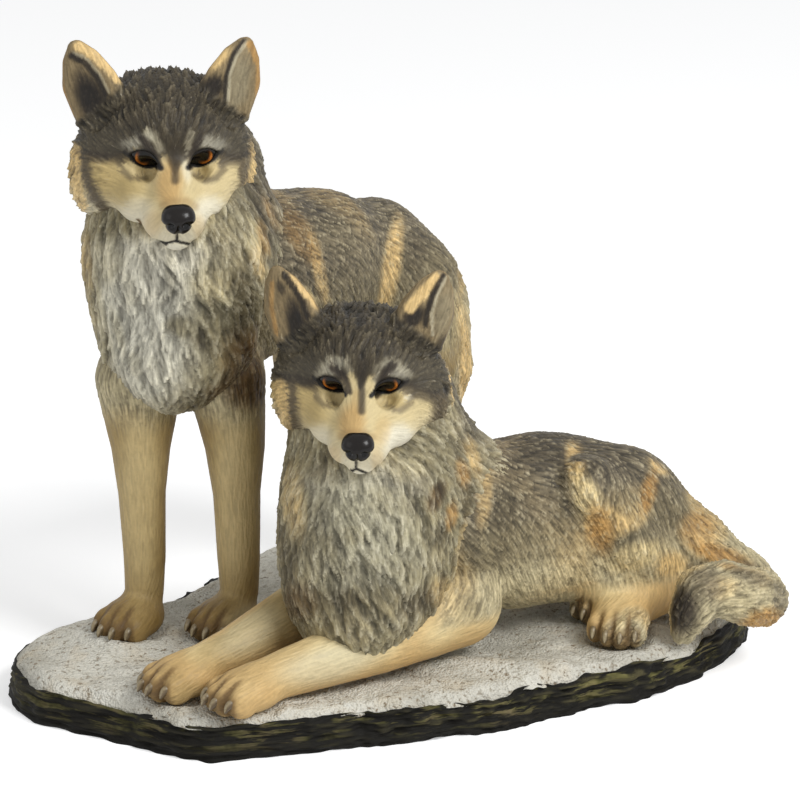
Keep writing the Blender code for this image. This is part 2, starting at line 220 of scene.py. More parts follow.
class Form:
    """A soft union of eggs and tapered links, with hollows cut from it. Depth is below zero inside."""

    def __init__(self):
        self.parts = []

    def egg(self, seat, centre, radii, blend, flow=(-1, 0, -0.5), cut=False, swell=0.0, turn=0.0):
        """Adds an egg, or cuts one out."""
        axes = seat.axes @ turned(turn)
        size = np.array(radii, float) * seat.scale + swell
        reach = np.sqrt(((axes * size) ** 2).sum(1))
        middle = seat.out(centre)
        self.parts.append({"egg": True, "middle": middle, "size": size, "axes": axes, "blend": blend,
                           "cut": cut, "flow": seat.axes @ unit(flow), "low": middle - reach,
                           "high": middle + reach})

    def run(self, seat, chain, blend, flow=None, flat=1.0, axis=(1, 0, 0), cut=False, swell=0.0):
        """Adds a chain of balls and the tapered links between them, flattened along an axis."""
        spots = seat.out([place for place, radius in chain])
        radii = [radius * seat.scale + swell for place, radius in chain]
        links = list(zip(spots, spots[1:], radii, radii[1:]))
        wide = max(radii)
        self.parts.append({"egg": False, "links": links, "flat": flat, "blend": blend, "cut": cut,
                           "axis": seat.axes @ unit(axis),
                           "flow": unit(spots[-1] - spots[0]) if flow is None else seat.axes @ unit(flow),
                           "own_ways": flow is None, "low": spots.min(0) - wide, "high": spots.max(0) + wide})

    @staticmethod
    def part_depth(part, points):
        """Egg: its scaled length k0 times k0 - 1, over the gradient's length. Run: the least of its
        links' depths."""
        if part["egg"]:
            q = (points - part["middle"]) @ part["axes"]
            k0 = np.sqrt(((q / part["size"]) ** 2).sum(-1))
            k1 = np.sqrt(((q / part["size"] ** 2) ** 2).sum(-1)) + 1e-9
            return k0 * (k0 - 1) / k1
        return np.minimum.reduce([Form.link_depth(part, link, points) for link in part["links"]])

    @staticmethod
    def link_depth(part, link, points):
        """The least distance to a ball of the link: the ball's middle lies on the axis, behind the nearest
        point by the taper's share of the distance to the axis, and clipped to the ends."""
        a, b, ra, rb = link
        x = points - a
        way = b - a
        flat = part["flat"]
        if flat != 1.0:
            n = part["axis"]
            x = x + (x @ n)[..., None] * n * (1 / flat - 1)
            way = way + (way @ n) * n * (1 / flat - 1)
        length = np.sqrt(way @ way)
        along = x @ way / length
        away = np.sqrt(np.maximum((x ** 2).sum(-1) - along ** 2, 0))
        taper = (ra - rb) / length
        t = np.clip((along - away * taper / np.sqrt(1 - taper ** 2)) / length, 0, 1)
        return (np.hypot(along - t * length, away) - (ra + (rb - ra) * t)) * flat

    def joined(self, depth, part, found):
        """The depth once this part is added to it, or cut out of it."""
        if part["cut"]:
            return -nearer(-depth, found, part["blend"])
        return nearer(depth, found, part["blend"])

    def depth(self, points):
        """How far outside the form each point lies."""
        depth = np.full(len(points), FAR)
        for part in self.parts:
            margin = part["blend"] + 1 if part["cut"] else FAR
            near = ((points > part["low"] - margin) & (points < part["high"] + margin)).all(1)
            near = np.flatnonzero(near)
            if len(near):
                depth[near] = self.joined(depth[near], part, self.part_depth(part, points[near]))
        return depth

    def sampled(self, step):
        """The depth on a cubic grid that holds every part, and the grid's lowest corner."""
        solid = [part for part in self.parts if not part["cut"]]
        low = np.min([part["low"] for part in solid], 0) - 3 * step
        high = np.max([part["high"] for part in solid], 0) + 3 * step
        count = np.ceil((high - low) / step).astype(int) + 1
        depth = np.full(count, FAR, np.float32)
        ticks = [low[i] + step * np.arange(count[i]) for i in range(3)]
        for part in self.parts:
            margin = min(FAR, part["blend"] + 2 * step + 2)
            first = np.clip(np.floor((part["low"] - margin - low) / step).astype(int), 0, count - 1)
            last = np.clip(np.ceil((part["high"] + margin - low) / step).astype(int) + 1, 1, count)
            box = tuple(slice(first[i], last[i]) for i in range(3))
            grid = np.meshgrid(*[ticks[i][first[i]:last[i]] for i in range(3)], indexing="ij")
            depth[box] = self.joined(depth[box], part, self.part_depth(part, np.stack(grid, -1)))
        return depth, low

    def flow(self, points):
        """The way the hair lies: the parts' own ways, each weighed by how near its surface is."""
        total = np.zeros((len(points), 3))
        for part in self.parts:
            if part["cut"]:
                continue
            if part.get("own_ways"):
                found = [(self.link_depth(part, link, points), unit(link[1] - link[0]))
                         for link in part["links"]]
            else:
                found = [(self.part_depth(part, points), part["flow"])]
            for depth, way in found:
                total += np.exp(-np.clip(np.abs(depth), 0, 60) / 4)[:, None] * way
        return unit(total)


def wrapped(depth, low, step):
    """A net over the surface in a depth grid: one point in each crossed cube, at the mean of the
    crossings on its edges, and one four-sided face round each crossed edge."""
    inside = depth < 0
    count = np.array(depth.shape)
    corners = [np.array((i, j, k)) for k in (0, 1) for j in (0, 1) for i in (0, 1)]
    some = np.zeros(count - 1, bool)
    every = np.ones(count - 1, bool)
    for c in corners:
        block = inside[tuple(slice(c[i], count[i] - 1 + c[i]) for i in range(3))]
        some |= block
        every &= block
    crossed = some & ~every
    cells = np.argwhere(crossed)
    number = np.full(count - 1, -1)
    number[crossed] = np.arange(len(cells))
    total = np.zeros((len(cells), 3))
    hits = np.zeros(len(cells))
    values = [depth[tuple((cells + c).T)] for c in corners]
    for i, first in enumerate(corners):
        for j, second in enumerate(corners):
            if j <= i or np.abs(first - second).sum() != 1:
                continue
            meets = (values[i] < 0) != (values[j] < 0)
            t = np.where(meets, values[i] / np.where(meets, values[i] - values[j], 1), 0)
            total += np.where(meets[:, None], first + t[:, None] * (second - first), 0)
            hits += meets
    points = low + step * (cells + total / hits[:, None])
    faces = []
    for axis in range(3):
        before = [slice(None)] * 3
        after = [slice(None)] * 3
        before[axis] = slice(0, -1)
        after[axis] = slice(1, None)
        edges = np.argwhere(inside[tuple(before)] != inside[tuple(after)])
        u = np.zeros(3, int)
        w = np.zeros(3, int)
        u[(axis + 1) % 3] = 1
        w[(axis + 2) % 3] = 1
        starts = inside[tuple(edges.T)]
        quad = np.stack([number[tuple((edges - u - w).T)], number[tuple((edges - w).T)],
                         number[tuple(edges.T)], number[tuple((edges - u).T)]], 1)
        quad[~starts] = quad[~starts][:, ::-1]
        faces.append(quad)
    return points, np.concatenate(faces)


def quartered(points, faces):
    """Each four-sided face split into four, through the middles of its edges and its own middle."""
    edges = np.sort(np.concatenate([faces[:, [i, (i + 1) % 4]] for i in range(4)]), 1)
    keys, place = np.unique(edges[:, 0].astype(np.int64) * len(points) + edges[:, 1], return_inverse=True)
    place = place.reshape(4, -1) + len(points)
    middles = (points[keys // len(points)] + points[keys % len(points)]) / 2
    centre = len(points) + len(keys) + np.arange(len(faces))
    split = [np.stack([faces[:, i], place[i], centre, place[i - 1]], 1) for i in range(4)]
    return np.concatenate([points, middles, points[faces].mean(1)]), np.concatenate(split)


def gathered(values, faces, count):
    """Adds each face's vector to its four corners."""
    return np.stack([sum(np.bincount(faces[:, i], values[:, a], count) for i in range(4))
                     for a in range(3)], 1)


def facing(points, faces):
    """The outward direction at each point: the sum of its faces' normals, by area."""
    across = np.cross(points[faces[:, 2]] - points[faces[:, 0]], points[faces[:, 3]] - points[faces[:, 1]])
    return unit(gathered(across, faces, len(points)))


def settled(form, points, faces):
    """Evens the net sideways towards the mean of the faces round each point, then sets it on the form."""
    share = np.bincount(faces.ravel(), minlength=len(points))[:, None]
    for _ in range(EVENINGS):
        normal = facing(points, faces)
        pull = gathered(points[faces].mean(1), faces, len(points)) / share - points
        points = points + 0.6 * (pull - (pull * normal).sum(1, keepdims=True) * normal)
        points = points - normal * np.clip(form.depth(points), -1, 1)[:, None] * 0.85
    return points


def skin(form, step):
    """A net of four-sided faces about step across, lying on the form."""
    depth, low = form.sampled(step * 2)
    points, faces = wrapped(depth, low, step * 2)
    points = settled(form, points, faces)
    points, faces = quartered(points, faces)
    points = settled(form, points, faces)
    return points, faces, facing(points, faces)


def cloud(points, size, seed):
    """Soft noise from -1 to 1: seeded numbers on a cubic grid of that size, eased between them."""
    table = np.random.default_rng(seed).random((32, 32, 32)) * 2 - 1
    p = np.asarray(points) / size
    cell = np.floor(p).astype(int)
    t = p - cell
    t = t * t * (3 - 2 * t)
    total = 0
    for i in (0, 1):
        for j in (0, 1):
            for k in (0, 1):
                near = table[tuple(((cell + (i, j, k)) % 32).T)]
                total = total + near * (t[:, 0] if i else 1 - t[:, 0]) * (
                    t[:, 1] if j else 1 - t[:, 1]) * (t[:, 2] if k else 1 - t[:, 2])
    return total


def combed(normal, flow, angle):
    """The flow laid flat on the surface and turned in it by angle, and the direction across it."""
    along = unit(flow - (flow * normal).sum(1, keepdims=True) * normal)
    across = np.cross(normal, along)
    c = np.cos(angle)[:, None]
    s = np.sin(angle)[:, None]
    return along * c + across * s, across * c - along * s


def locks(points, normal, along, across, length, width, wave, seed):
    """Overlapping pointed locks of hair. A root is drawn in each small cube that the surface passes.
    Along a lock u goes from 0 to 1. Its half width grows from the root and shrinks with 1 - u squared,
    to the power of 0.75, to a point, its middle line is bent by a sine, and its height rises with u
    and falls to its sides as a half round. The highest lock at a point is the one that shows.
    Gives height, u and tint, a number of its own for each lock."""
    rng = np.random.default_rng(seed)
    cube = np.sqrt(length * width * 0.42)
    cells = np.floor((points - points.min(0)) / cube).astype(int) + 2
    room = cells.max(0) + 3
    flat = (cells[:, 0] * room[1] + cells[:, 1]) * room[2] + cells[:, 2]
    order = rng.permutation(len(points))
    roots = np.full(int(np.prod(room)), -1, np.int32)
    roots[flat[order]] = order
    phase = rng.random(len(points))
    best = np.zeros(len(points))
    best_u = np.zeros(len(points))
    owner = np.full(len(points), -1)
    offsets = [(i, j, k) for i in range(-2, 3) for j in range(-2, 3) for k in range(-2, 3)]
    for i, j, k in offsets:
        root = roots[flat + (i * room[1] + j) * room[2] + k]
        here = np.flatnonzero(root >= 0)
        root = root[here]
        d = points[here] - points[root]
        u = (d * along[root]).sum(1) / length + 0.5
        keep = (u > 0) & (u < 1) & (np.abs((d * normal[root]).sum(1)) < length * 0.5)
        here, root, d, u = here[keep], root[keep], d[keep], u[keep]
        own = phase[root]
        c = (d * across[root]).sum(1) - wave * width * np.sin(4.4 * u + 6.28 * own)
        w = 0.5 * width * (0.75 + 0.5 * own) * np.minimum(1, 0.45 + 1.8 * u) * (1 - u ** 2) ** 0.75
        q = np.abs(c) / (w + 1e-6)
        height = (0.25 + 0.75 * u) * (0.8 + 0.4 * own) * np.sqrt(np.clip(1 - q * q, 0, 1))
        wins = (q < 1) & (height > best[here])
        here = here[wins]
        best[here] = height[wins]
        best_u[here] = u[wins]
        owner[here] = root[wins]
    tint = np.where(owner < 0, 0.5, phase[np.maximum(owner, 0)])
    return {"height": best, "u": best_u, "tint": tint}


def washed(colour, paint, mask):
    """A paint, or a second coat, laid over a colour as thick as the mask says, from 0 to 1."""
    return colour + (np.asarray(paint) - colour) * np.clip(mask, 0, 1)[:, None]


def stroke(spots, line, thick, soft):
    """1 within half of thick from a line of points, and down to 0 over soft."""
    line = np.asarray(line, float)
    far = np.full(len(spots), 1e9)
    for a, b in zip(line, line[1:]):
        way = b - a
        t = np.clip((spots - a) @ way / (way @ way), 0, 1)
        far = np.minimum(far, np.linalg.norm(spots - a - t[:, None] * way, axis=1))
    return 1 - ease(thick / 2, thick / 2 + soft, far)


def blot(spots, middle, size, tilt=0.0):
    """1 inside an ellipse tilted by degrees, and down to 0 across its rim."""
    t = np.radians(tilt)
    d = spots - np.asarray(middle, float)
    x = (d[:, 0] * np.cos(t) + d[:, 1] * np.sin(t)) / size[0]
    y = (d[:, 1] * np.cos(t) - d[:, 0] * np.sin(t)) / size[1]
    return 1 - ease(0.55, 1.6, np.hypot(x, y))


# The front sheet that body markings are laid out on: where it looks, its tilt, reach and scale
SHEET_AIM = np.array((5.0, -30.0, 104.0))
SHEET_TILT = np.radians(17)
SHEET_REACH = 1000.0
SHEET_SCALE = 3.3


def laid_out(points):
    """Where points fall on the front sheet: right and down from its corner, 400 to its middle."""
    sunk = np.array((0, np.cos(SHEET_TILT), -np.sin(SHEET_TILT)))
    up = np.array((0, np.sin(SHEET_TILT), np.cos(SHEET_TILT)))
    d = points - (SHEET_AIM - SHEET_REACH * sunk)
    scale = SHEET_SCALE * SHEET_REACH / (d @ sunk)
    return np.stack([400 + scale * d[:, 0], 400 - scale * (d @ up)], 1)


STANDING = Seat(turned(236), (-62.3, 14, GROUND))
LYING = Seat(turned(215), (10, -4, GROUND))
STANDING_FACE = Seat(turned(-84, 9), (-64.8, 0, 174.3), 1.0)
LYING_FACE = Seat(turned(-96, 9), (-6.2, -30, 111.2), 0.96)

# Each wolf's seat and its paws
PAWS = {"standing": (STANDING, STANDING_PAWS), "lying": (LYING, LYING_PAWS)}

# Each head: its seat, its skull, how far its face's marks lie to its left, and its coat's seed
HEADS = {
    "standing": (STANDING_FACE, STANDING_SKULL, 0.5, 10),
    "lying": (LYING_FACE, LYING_SKULL, -0.3, 20),
}

# The sheet before a face: how high its middle lies, and its tilt as shares of up and forward
SHEET_MIDDLE = 1.6
SHEET_UP = 0.928
SHEET_FORWARD = 0.37


def face_sheet(q, drift):
    """A head's own coordinates as right and up on a sheet before its face, tilted with the brow."""
    return np.stack([q[:, 1] - drift, SHEET_MIDDLE + SHEET_UP * q[:, 2] - SHEET_FORWARD * q[:, 0]], 1)


# An eye on the face sheet, for the side on the left: corners, how far its lids bow, the power of
# their arch, and the iris
EYE_INNER = np.array((-4.8, -2.2))
EYE_OUTER = np.array((-13.1, 1.0))
EYE_UP = 2.6
EYE_DOWN = 2.0
EYE_ARCH = 0.75
IRIS = (-9.2, 0.1)
EYE_MIDDLE = (EYE_INNER + EYE_OUTER) / 2
EYE_HALF = np.linalg.norm(EYE_INNER - EYE_OUTER) / 2
EYE_ALONG = (EYE_INNER - EYE_OUTER) / (2 * EYE_HALF)
EYE_ACROSS = np.array((-EYE_ALONG[1], EYE_ALONG[0]))


def lid_distance(spots, side):
    """About how far a spot lies outside the eye's opening, below zero inside it. With x from -1 to 1
    along the eye, a lid lies at its height times 1 - x squared, to the power of the arch."""
    d = spots * (-side, 1) - EYE_MIDDLE
    x = (d @ EYE_ALONG) / EYE_HALF
    y = d @ EYE_ACROSS
    room = np.clip(1 - x * x, 0, 1)
    bow = np.where(y > 0, EYE_UP, EYE_DOWN) * room ** EYE_ARCH
    over = np.maximum(np.abs(x) - 1, 0) * EYE_HALF
    past = np.abs(y) - bow
    steep = 0.75 + 0.25 * room
    return np.where((over <= 0) & (past < 0), past * steep, np.hypot(over, np.maximum(past, 0) * steep))


def head_form(seat, skull):
    """Skull, cheeks and muzzle joined softly, with two hollowed ears."""
    form = Form()
    for centre, radii in (skull, BROW_MASS):
        form.egg(seat, centre, radii, 4)
    for (x, y, z), radii in CHEEK_MASSES:
        for side in (-1, 1):
            form.egg(seat, (x, (SKULL_SHIFT if x < -5 else 0) + side * y, z), radii, 4)
    form.run(seat, MUZZLE_TOP, 3)
    form.run(seat, MUZZLE_JAW, 3)
    for side in (-1, 1):
        (x, y, z), radii = MUZZLE_LIP
        form.egg(seat, (x, side * y, z), radii, 3)
        (x, y, z), radii = EYE_HOLLOW
        form.egg(seat, (x, side * y, z), radii, 2.5, cut=True)
        axis = np.array((1, 0.25 * side, 0))
        ear = [((x, SKULL_SHIFT + side * y, z), r) for (x, y, z), r in EAR_RUN]
        form.run(seat, ear, 1.5, flat=EAR_FLATTEN, axis=axis)
        hollow = [(tuple(np.array(c) + unit(axis) * EAR_HOLLOW), max(r - EAR_RIM, 0.8)) for c, r in ear]
        form.run(seat, hollow, 1.4, flat=EAR_FLATTEN, axis=axis, cut=True)
    return form


def add_paws(form, seat, paws):
    """A flat egg for each paw, and four small ones before it for its toes."""
    for (x, y, z), turn in paws:
        form.egg(seat, (x, y, z), PAW, 3, flow=(1, 0, -0.4), turn=turn)
        axes = turned(turn)
        for p, q in TOES:
            centre = np.array((x, y, z - 1)) + axes @ np.array((p, q, 0))
            form.egg(seat, centre, TOE, 0.8, flow=(1, 0, -0.4), turn=turn)


def body_form(seat, masses, runs, legs, paws):
    """Trunk, rump, tail, legs and paws joined softly."""
    form = Form()
    for centre, radii in masses:
        form.egg(seat, centre, radii, 8, flow=(-1, 0.1, -0.5))
    for run in runs:
        form.run(seat, run, 7)
    for leg in legs:
        form.run(seat, leg, 4)
    add_paws(form, seat, paws)
    return form


def ruff_form(seat, masses, neck, mane):
    """Chest, neck and mane joined softly, a little proud of the trunk."""
    form = Form()
    for centre, radii in masses:
        form.egg(seat, centre, radii, 8, flow=(-0.15, 0, -1), swell=RUFF_SWELL)
    form.run(seat, neck, 8, flow=(-0.35, 0, -1), swell=RUFF_SWELL)
    form.run(seat, mane, 8, flow=(-1, 0, -0.75), swell=RUFF_SWELL)
    return form


def to_socket(colour):
    """A paint as written, made linear."""
    c = np.clip(np.asarray(colour, float), 0, 1)
    return np.where(c <= 0.04045, c / 12.92, ((c + 0.055) / 1.055) ** 2.4)


def add_piece(name, material, points, faces, tips=None, paint=None, way=None, streaks=1.0):
    """A finished piece from points in drawing millimetres, four-sided faces and three-sided ones, with
    its material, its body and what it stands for. The alpha of its paint says how far the
    streaks of hair, or the moss on the rock, show."""
    points = (np.asarray(points) + SHIFT) * MM
    faces = np.asarray(faces, np.int32)
    tips = np.zeros((0, 3), np.int32) if tips is None else np.asarray(tips, np.int32)
    mesh = bpy.data.meshes.new(name)
    mesh.vertices.add(len(points))
    mesh.vertices.foreach_set("co", points.astype(np.float32).ravel())
    corners = np.concatenate([faces.ravel(), tips.ravel()])
    mesh.loops.add(len(corners))
    mesh.loops.foreach_set("vertex_index", corners)
    starts = np.concatenate([4 * np.arange(len(faces)), 4 * len(faces) + 3 * np.arange(len(tips))])
    mesh.polygons.add(len(starts))
    mesh.polygons.foreach_set("loop_start", starts.astype(np.int32))
    mesh.update(calc_edges=True)
    if mesh.validate():
        raise ValueError(name + " has faces that can't be used")
    mesh.shade_smooth()
    if paint is not None:
        layer = mesh.attributes.new("paint", "FLOAT_COLOR", "POINT")
        colour = np.ones((len(points), 4), np.float32)
        colour[:, :3] = to_socket(paint)
        colour[:, 3] = streaks
        layer.data.foreach_set("color", colour.ravel())
    if way is not None:
        layer = mesh.attributes.new("way", "FLOAT_VECTOR", "POINT")
        layer.data.foreach_set("vector", np.asarray(way, np.float32).ravel())
    mesh.materials.append(material)
    piece = bpy.data.objects.new(name, mesh)
    bpy.context.scene.collection.objects.link(piece)
    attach(piece, "root")
    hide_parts("wolf_figurine")


def closed_tube(rings, first, last):
    """Points and faces of rings of points joined in turn, with an end point on the first and the last
    ring. The faces are turned round where the volume that they enclose comes out below zero."""
    rows, cols = rings.shape[:2]
    points = np.concatenate([rings.reshape(-1, 3), [first, last]])
    number = np.arange(rows * cols).reshape(rows, cols)
    after = np.roll(number, -1, 1)
    faces = np.stack([number[:-1], after[:-1], after[1:], number[1:]], -1).reshape(-1, 4)
    ends = len(points) - 2
    tips = np.concatenate([
        np.stack([np.full(cols, ends), after[0], number[0]], 1),
        np.stack([np.full(cols, ends + 1), number[-1], after[-1]], 1)])
    thirds = np.concatenate([faces[:, :3], faces[:, [0, 2, 3]], tips])
    a, b, c = (points[thirds[:, i]] - points.mean(0) for i in range(3))
    if (a * np.cross(b, c)).sum() < 0:
        faces = faces[:, ::-1]
        tips = tips[:, ::-1]
    return points, faces, tips


def several(tubes):
    """Many closed tubes as one set of points and faces."""
    points, faces, tips = [], [], []
    count = 0
    for p, f, t in tubes:
        points.append(p)
        faces.append(f + count)
        tips.append(t + count)
        count += len(p)
    return np.concatenate(points), np.concatenate(faces), np.concatenate(tips)


class Wire:
    """A number that leaves a node. Sums and products of wires and numbers add their Math nodes."""

    def __init__(self, board, socket):
        self.board = board
        self.socket = socket

    def maths(self, operation, first, second):
        """The wire of a new Math node."""
        return self.board.add("Math", {"operation": operation}, {0: first, 1: second}).wire(0)

    def __add__(self, other):
        return self.maths("ADD", self, other)

    def __radd__(self, other):
        return self.maths("ADD", other, self)

    def __sub__(self, other):
        return self.maths("SUBTRACT", self, other)

    def __rsub__(self, other):
        return self.maths("SUBTRACT", other, self)

    def __mul__(self, other):
        return self.maths("MULTIPLY", self, other)

    def __rmul__(self, other):
        return self.maths("MULTIPLY", other, self)


class Added:
    """A node on a board, whose outputs are taken as wires."""

    def __init__(self, board, node):
        self.board = board
        self.node = node

    def wire(self, name=0):
        """The output of that name or number."""
        return Wire(self.board, self.node.outputs[name])


# Drawn out hairs: patches to a metre, metres from step to step and the number of steps; and the paint
# of the pale strands
HAIR_SCALE = 1250.0
HAIR_STEP = 0.0004
HAIR_STEPS = 9
STRAND_PAINT = (0.62, 0.56, 0.43, 1)


def opaque(colour):
    """A paint as written, as a socket's colour."""
    return (*to_socket(colour), 1.0)


class Board:
    """A material's or the world's nodes, cleared."""

    def __init__(self, owner):
        owner.use_nodes = True
        self.tree = owner.node_tree
        self.tree.nodes.clear()

    def add(self, kind, settings=None, sockets=None):
        """A node of that kind: its settings first, then the values or links of its sockets."""
        node = self.tree.nodes.new("ShaderNode" + kind)
        for name, value in (settings or {}).items():
            if name == "stops":
                ramp = node.color_ramp
                while len(ramp.elements) < len(value):
                    ramp.elements.new(0.5)
                for element, (place, colour) in zip(ramp.elements, value):
                    element.position = place
                    element.color = colour
            else:
                setattr(node, name, value)
        for name, value in (sockets or {}).items():
            if isinstance(value, Wire):
                self.tree.links.new(value.socket, node.inputs[name])
            else:
                node.inputs[name].default_value = value
        return Added(self, node)

    def band(self, value, low, high):
        """0 where a value is below low, 1 above high, eased between."""
        return self.add("MapRange", {"interpolation_type": "SMOOTHSTEP"},
                        {"Value": value, "From Min": low, "From Max": high}).wire("Result")

    def mixed(self, share, first, second, blend="MIX"):
        """Two colours mixed: sockets 6 and 7 of a colour Mix node, and its output 2."""
        return self.add("Mix", {"data_type": "RGBA", "blend_type": blend},
                        {0: share, 6: first, 7: second}).wire(2)

    def noise(self, place, scale, detail=2.0, roughness=0.5):
        """Soft noise, with that many patches to a metre."""
        return self.add("TexNoise", None, {"Vector": place, "Scale": scale, "Detail": detail,
                                           "Roughness": roughness}).wire("Fac")

    def hairs(self, place, way):
        """Noise drawn out into hairs: its mean at places set a step apart along a direction."""
        total = 0.0
        for i in range(HAIR_STEPS):
            far = (i - (HAIR_STEPS - 1) / 2) * HAIR_STEP
            spot = self.add("VectorMath", {"operation": "MULTIPLY_ADD"},
                            {0: way, 1: (far, far, far), 2: place})
            total = self.noise(spot.wire("Vector"), HAIR_SCALE, 1.0) + total
        return total * (1 / HAIR_STEPS)

    def place(self):
        """Where on its piece each spot lies."""
        return self.add("TexCoord").wire("Object")

    def paint(self):
        """The paint that the mesh carries."""
        return self.add("Attribute", {"attribute_name": "paint"})

    def darker(self, paint, share):
        """A paint multiplied by a colour."""
        return self.mixed(1.0, paint, (*share, 1), "MULTIPLY")

    def bumped(self, height, strength, distance):
        """A normal from a height."""
        return self.add("Bump", None, {"Height": height, "Strength": strength,
                                       "Distance": distance}).wire("Normal")

    def finish(self, sockets):
        """The surface, from the values of its sockets."""
        shader = self.add("BsdfPrincipled", None, sockets)
        self.add("OutputMaterial", None, {"Surface": shader.wire("BSDF")})


def painted_fur(name, groove, crest, strands):
    """Paint from the mesh, darker in fine grooves along each lock and lighter on its crests, with thin
    pale strands brushed over it. The paint's alpha says how far all of that shows."""
    material = bpy.data.materials.new(name)
    board = Board(material)
    layer = board.paint()
    paint = layer.wire("Color")
    shown = layer.wire("Alpha")
    way = board.add("Attribute", {"attribute_name": "way"}).wire("Vector")
    hairs = board.hairs(board.place(), way)
    both = board.band(hairs, 0.36, 0.64)
    streaked = board.mixed(both, board.darker(paint, groove), board.darker(paint, crest))
    brushed = board.mixed(board.band(hairs, 0.585, 0.66) * strands, streaked, STRAND_PAINT)
    board.finish({
        "Base Color": board.mixed(shown, paint, brushed), "Roughness": 0.46 + 0.2 * both,
        "Normal": board.bumped(both * (0.25 + 0.75 * shown), 0.55, 0.0006), "Specular IOR Level": 0.28})
    return material


def wet_gloss():
    """A wet black nose or a lacquered eye: paint from the mesh under a clear coat. Made once."""
    known = bpy.data.materials.get("wet gloss")
    if known:
        return known
    material = bpy.data.materials.new("wet gloss")
    board = Board(material)
    paint = board.paint().wire("Color")
    grain = board.noise(board.place(), 1500.0)
    board.finish({
        "Base Color": board.mixed(board.band(grain, 0.3, 0.7), paint, board.darker(paint, (0.7, 0.7, 0.7))),
        "Roughness": 0.2 + 0.1 * grain, "Normal": board.bumped(grain, 0.12, 0.0002),
        "Specular IOR Level": 0.22, "Coat Weight": 0.06, "Coat Roughness": 0.1})
    return material


def horn():
    """Claws: satin, paint from the mesh with a faint grain."""
    material = bpy.data.materials.new("painted horn")
    board = Board(material)
    paint = board.paint().wire("Color")
    grain = board.noise(board.place(), 1100.0, 3.0)
    worn = board.darker(paint, (0.62, 0.58, 0.5))
    board.finish({
        "Base Color": board.mixed(board.band(grain, 0.35, 0.7), paint, worn),
        "Roughness": 0.32 + 0.15 * grain, "Normal": board.bumped(grain, 0.2, 0.0002)})
    return material


def packed_snow(snow, speck, hollow):
    """Grainy warm white, with brown specks between the grains and greyer hollows."""
    material = bpy.data.materials.new("grainy snow")
    board = Board(material)
    place = board.place()
    grains = board.add("TexVoronoi", None, {"Vector": place, "Scale": 1250.0}).wire("Distance")
    clumps = board.noise(place, 620.0, 3.0, 0.6)
    drift = board.noise(place, 34.0, 3.0)
    patch = board.noise(place, 90.0)
    pits = board.band(clumps, 0.57, 0.65) * board.band(patch, 0.32, 0.55)
    base = board.mixed(board.band(drift, 0.45, 0.72) * 0.6, opaque(snow), opaque(hollow))
    warm = board.mixed(board.band(patch, 0.5, 0.75) * 0.35, base, opaque((0.80, 0.72, 0.58)))
    grainy = board.mixed(board.band(clumps, 0.48, 0.62) * 0.3, warm, opaque(hollow))
    board.finish({
        "Base Color": board.mixed(pits * 0.75, grainy, opaque(speck)), "Roughness": 0.72 + 0.2 * clumps,
        "Normal": board.bumped(clumps * -0.6 + (1 - grains) * 0.5, 0.9, 0.0013),
        "Specular IOR Level": 0.35})
    return material


def layered_rock(dark, moss):
    """Near-black rock with olive and tan brushed over its level ledges, as far as its paint's alpha
    says."""
    material = bpy.data.materials.new("layered rock")
    board = Board(material)
    layer = board.paint()
    place = board.place()
    level = board.add("Mapping", None, {"Vector": place, "Scale": (60, 60, 620)}).wire("Vector")
    ledges = board.noise(level, 1.0, 4.0, 0.65)
    broken = board.noise(place, 95.0, 3.0, 0.6)
    brushed = board.band(ledges, 0.50, 0.60) * board.band(broken, 0.36, 0.58)
    stone = board.mixed(0.6, layer.wire("Color"), opaque(dark))
    tan = board.mixed(board.band(broken, 0.45, 0.7), opaque(moss), opaque((0.52, 0.47, 0.34)))
    board.finish({
        "Base Color": board.mixed(brushed * layer.wire("Alpha"), stone, tan),
        "Roughness": 0.55 + 0.3 * ledges, "Normal": board.bumped(ledges, 0.9, 0.0016),
        "Specular IOR Level": 0.18})
    return material


def hair_shade(colour, hair, tip, tip_share, depth=0.34):
    """Roots and gaps darker, and the raised tips of some locks brushed with a pale paint."""
    raised = np.clip(hair["height"], 0, 1)
    shade = 1 - depth * (1 - ease(0.05, 0.7, raised)) + 0.10 * (hair["tint"] - 0.5)
    colour = colour * shade[:, None]
    brushed = ease(0.55, 0.95, hair["u"]) * ease(0.35, 0.8, raised) * ease(0.15, 0.6, hair["tint"])
    return washed(colour, tip, brushed * tip_share)


def marked(colour, spots, marks, show, paints):
    """Marks laid over a colour: middle, half sizes, tilt, paint and strength of each blot."""
    for x, y, rx, ry, tilt, paint, strength in marks:
        cover = blot(spots, (x, y), (rx, ry), tilt) * strength * show
        colour = washed(colour, getattr(paints, paint), cover)
    return colour


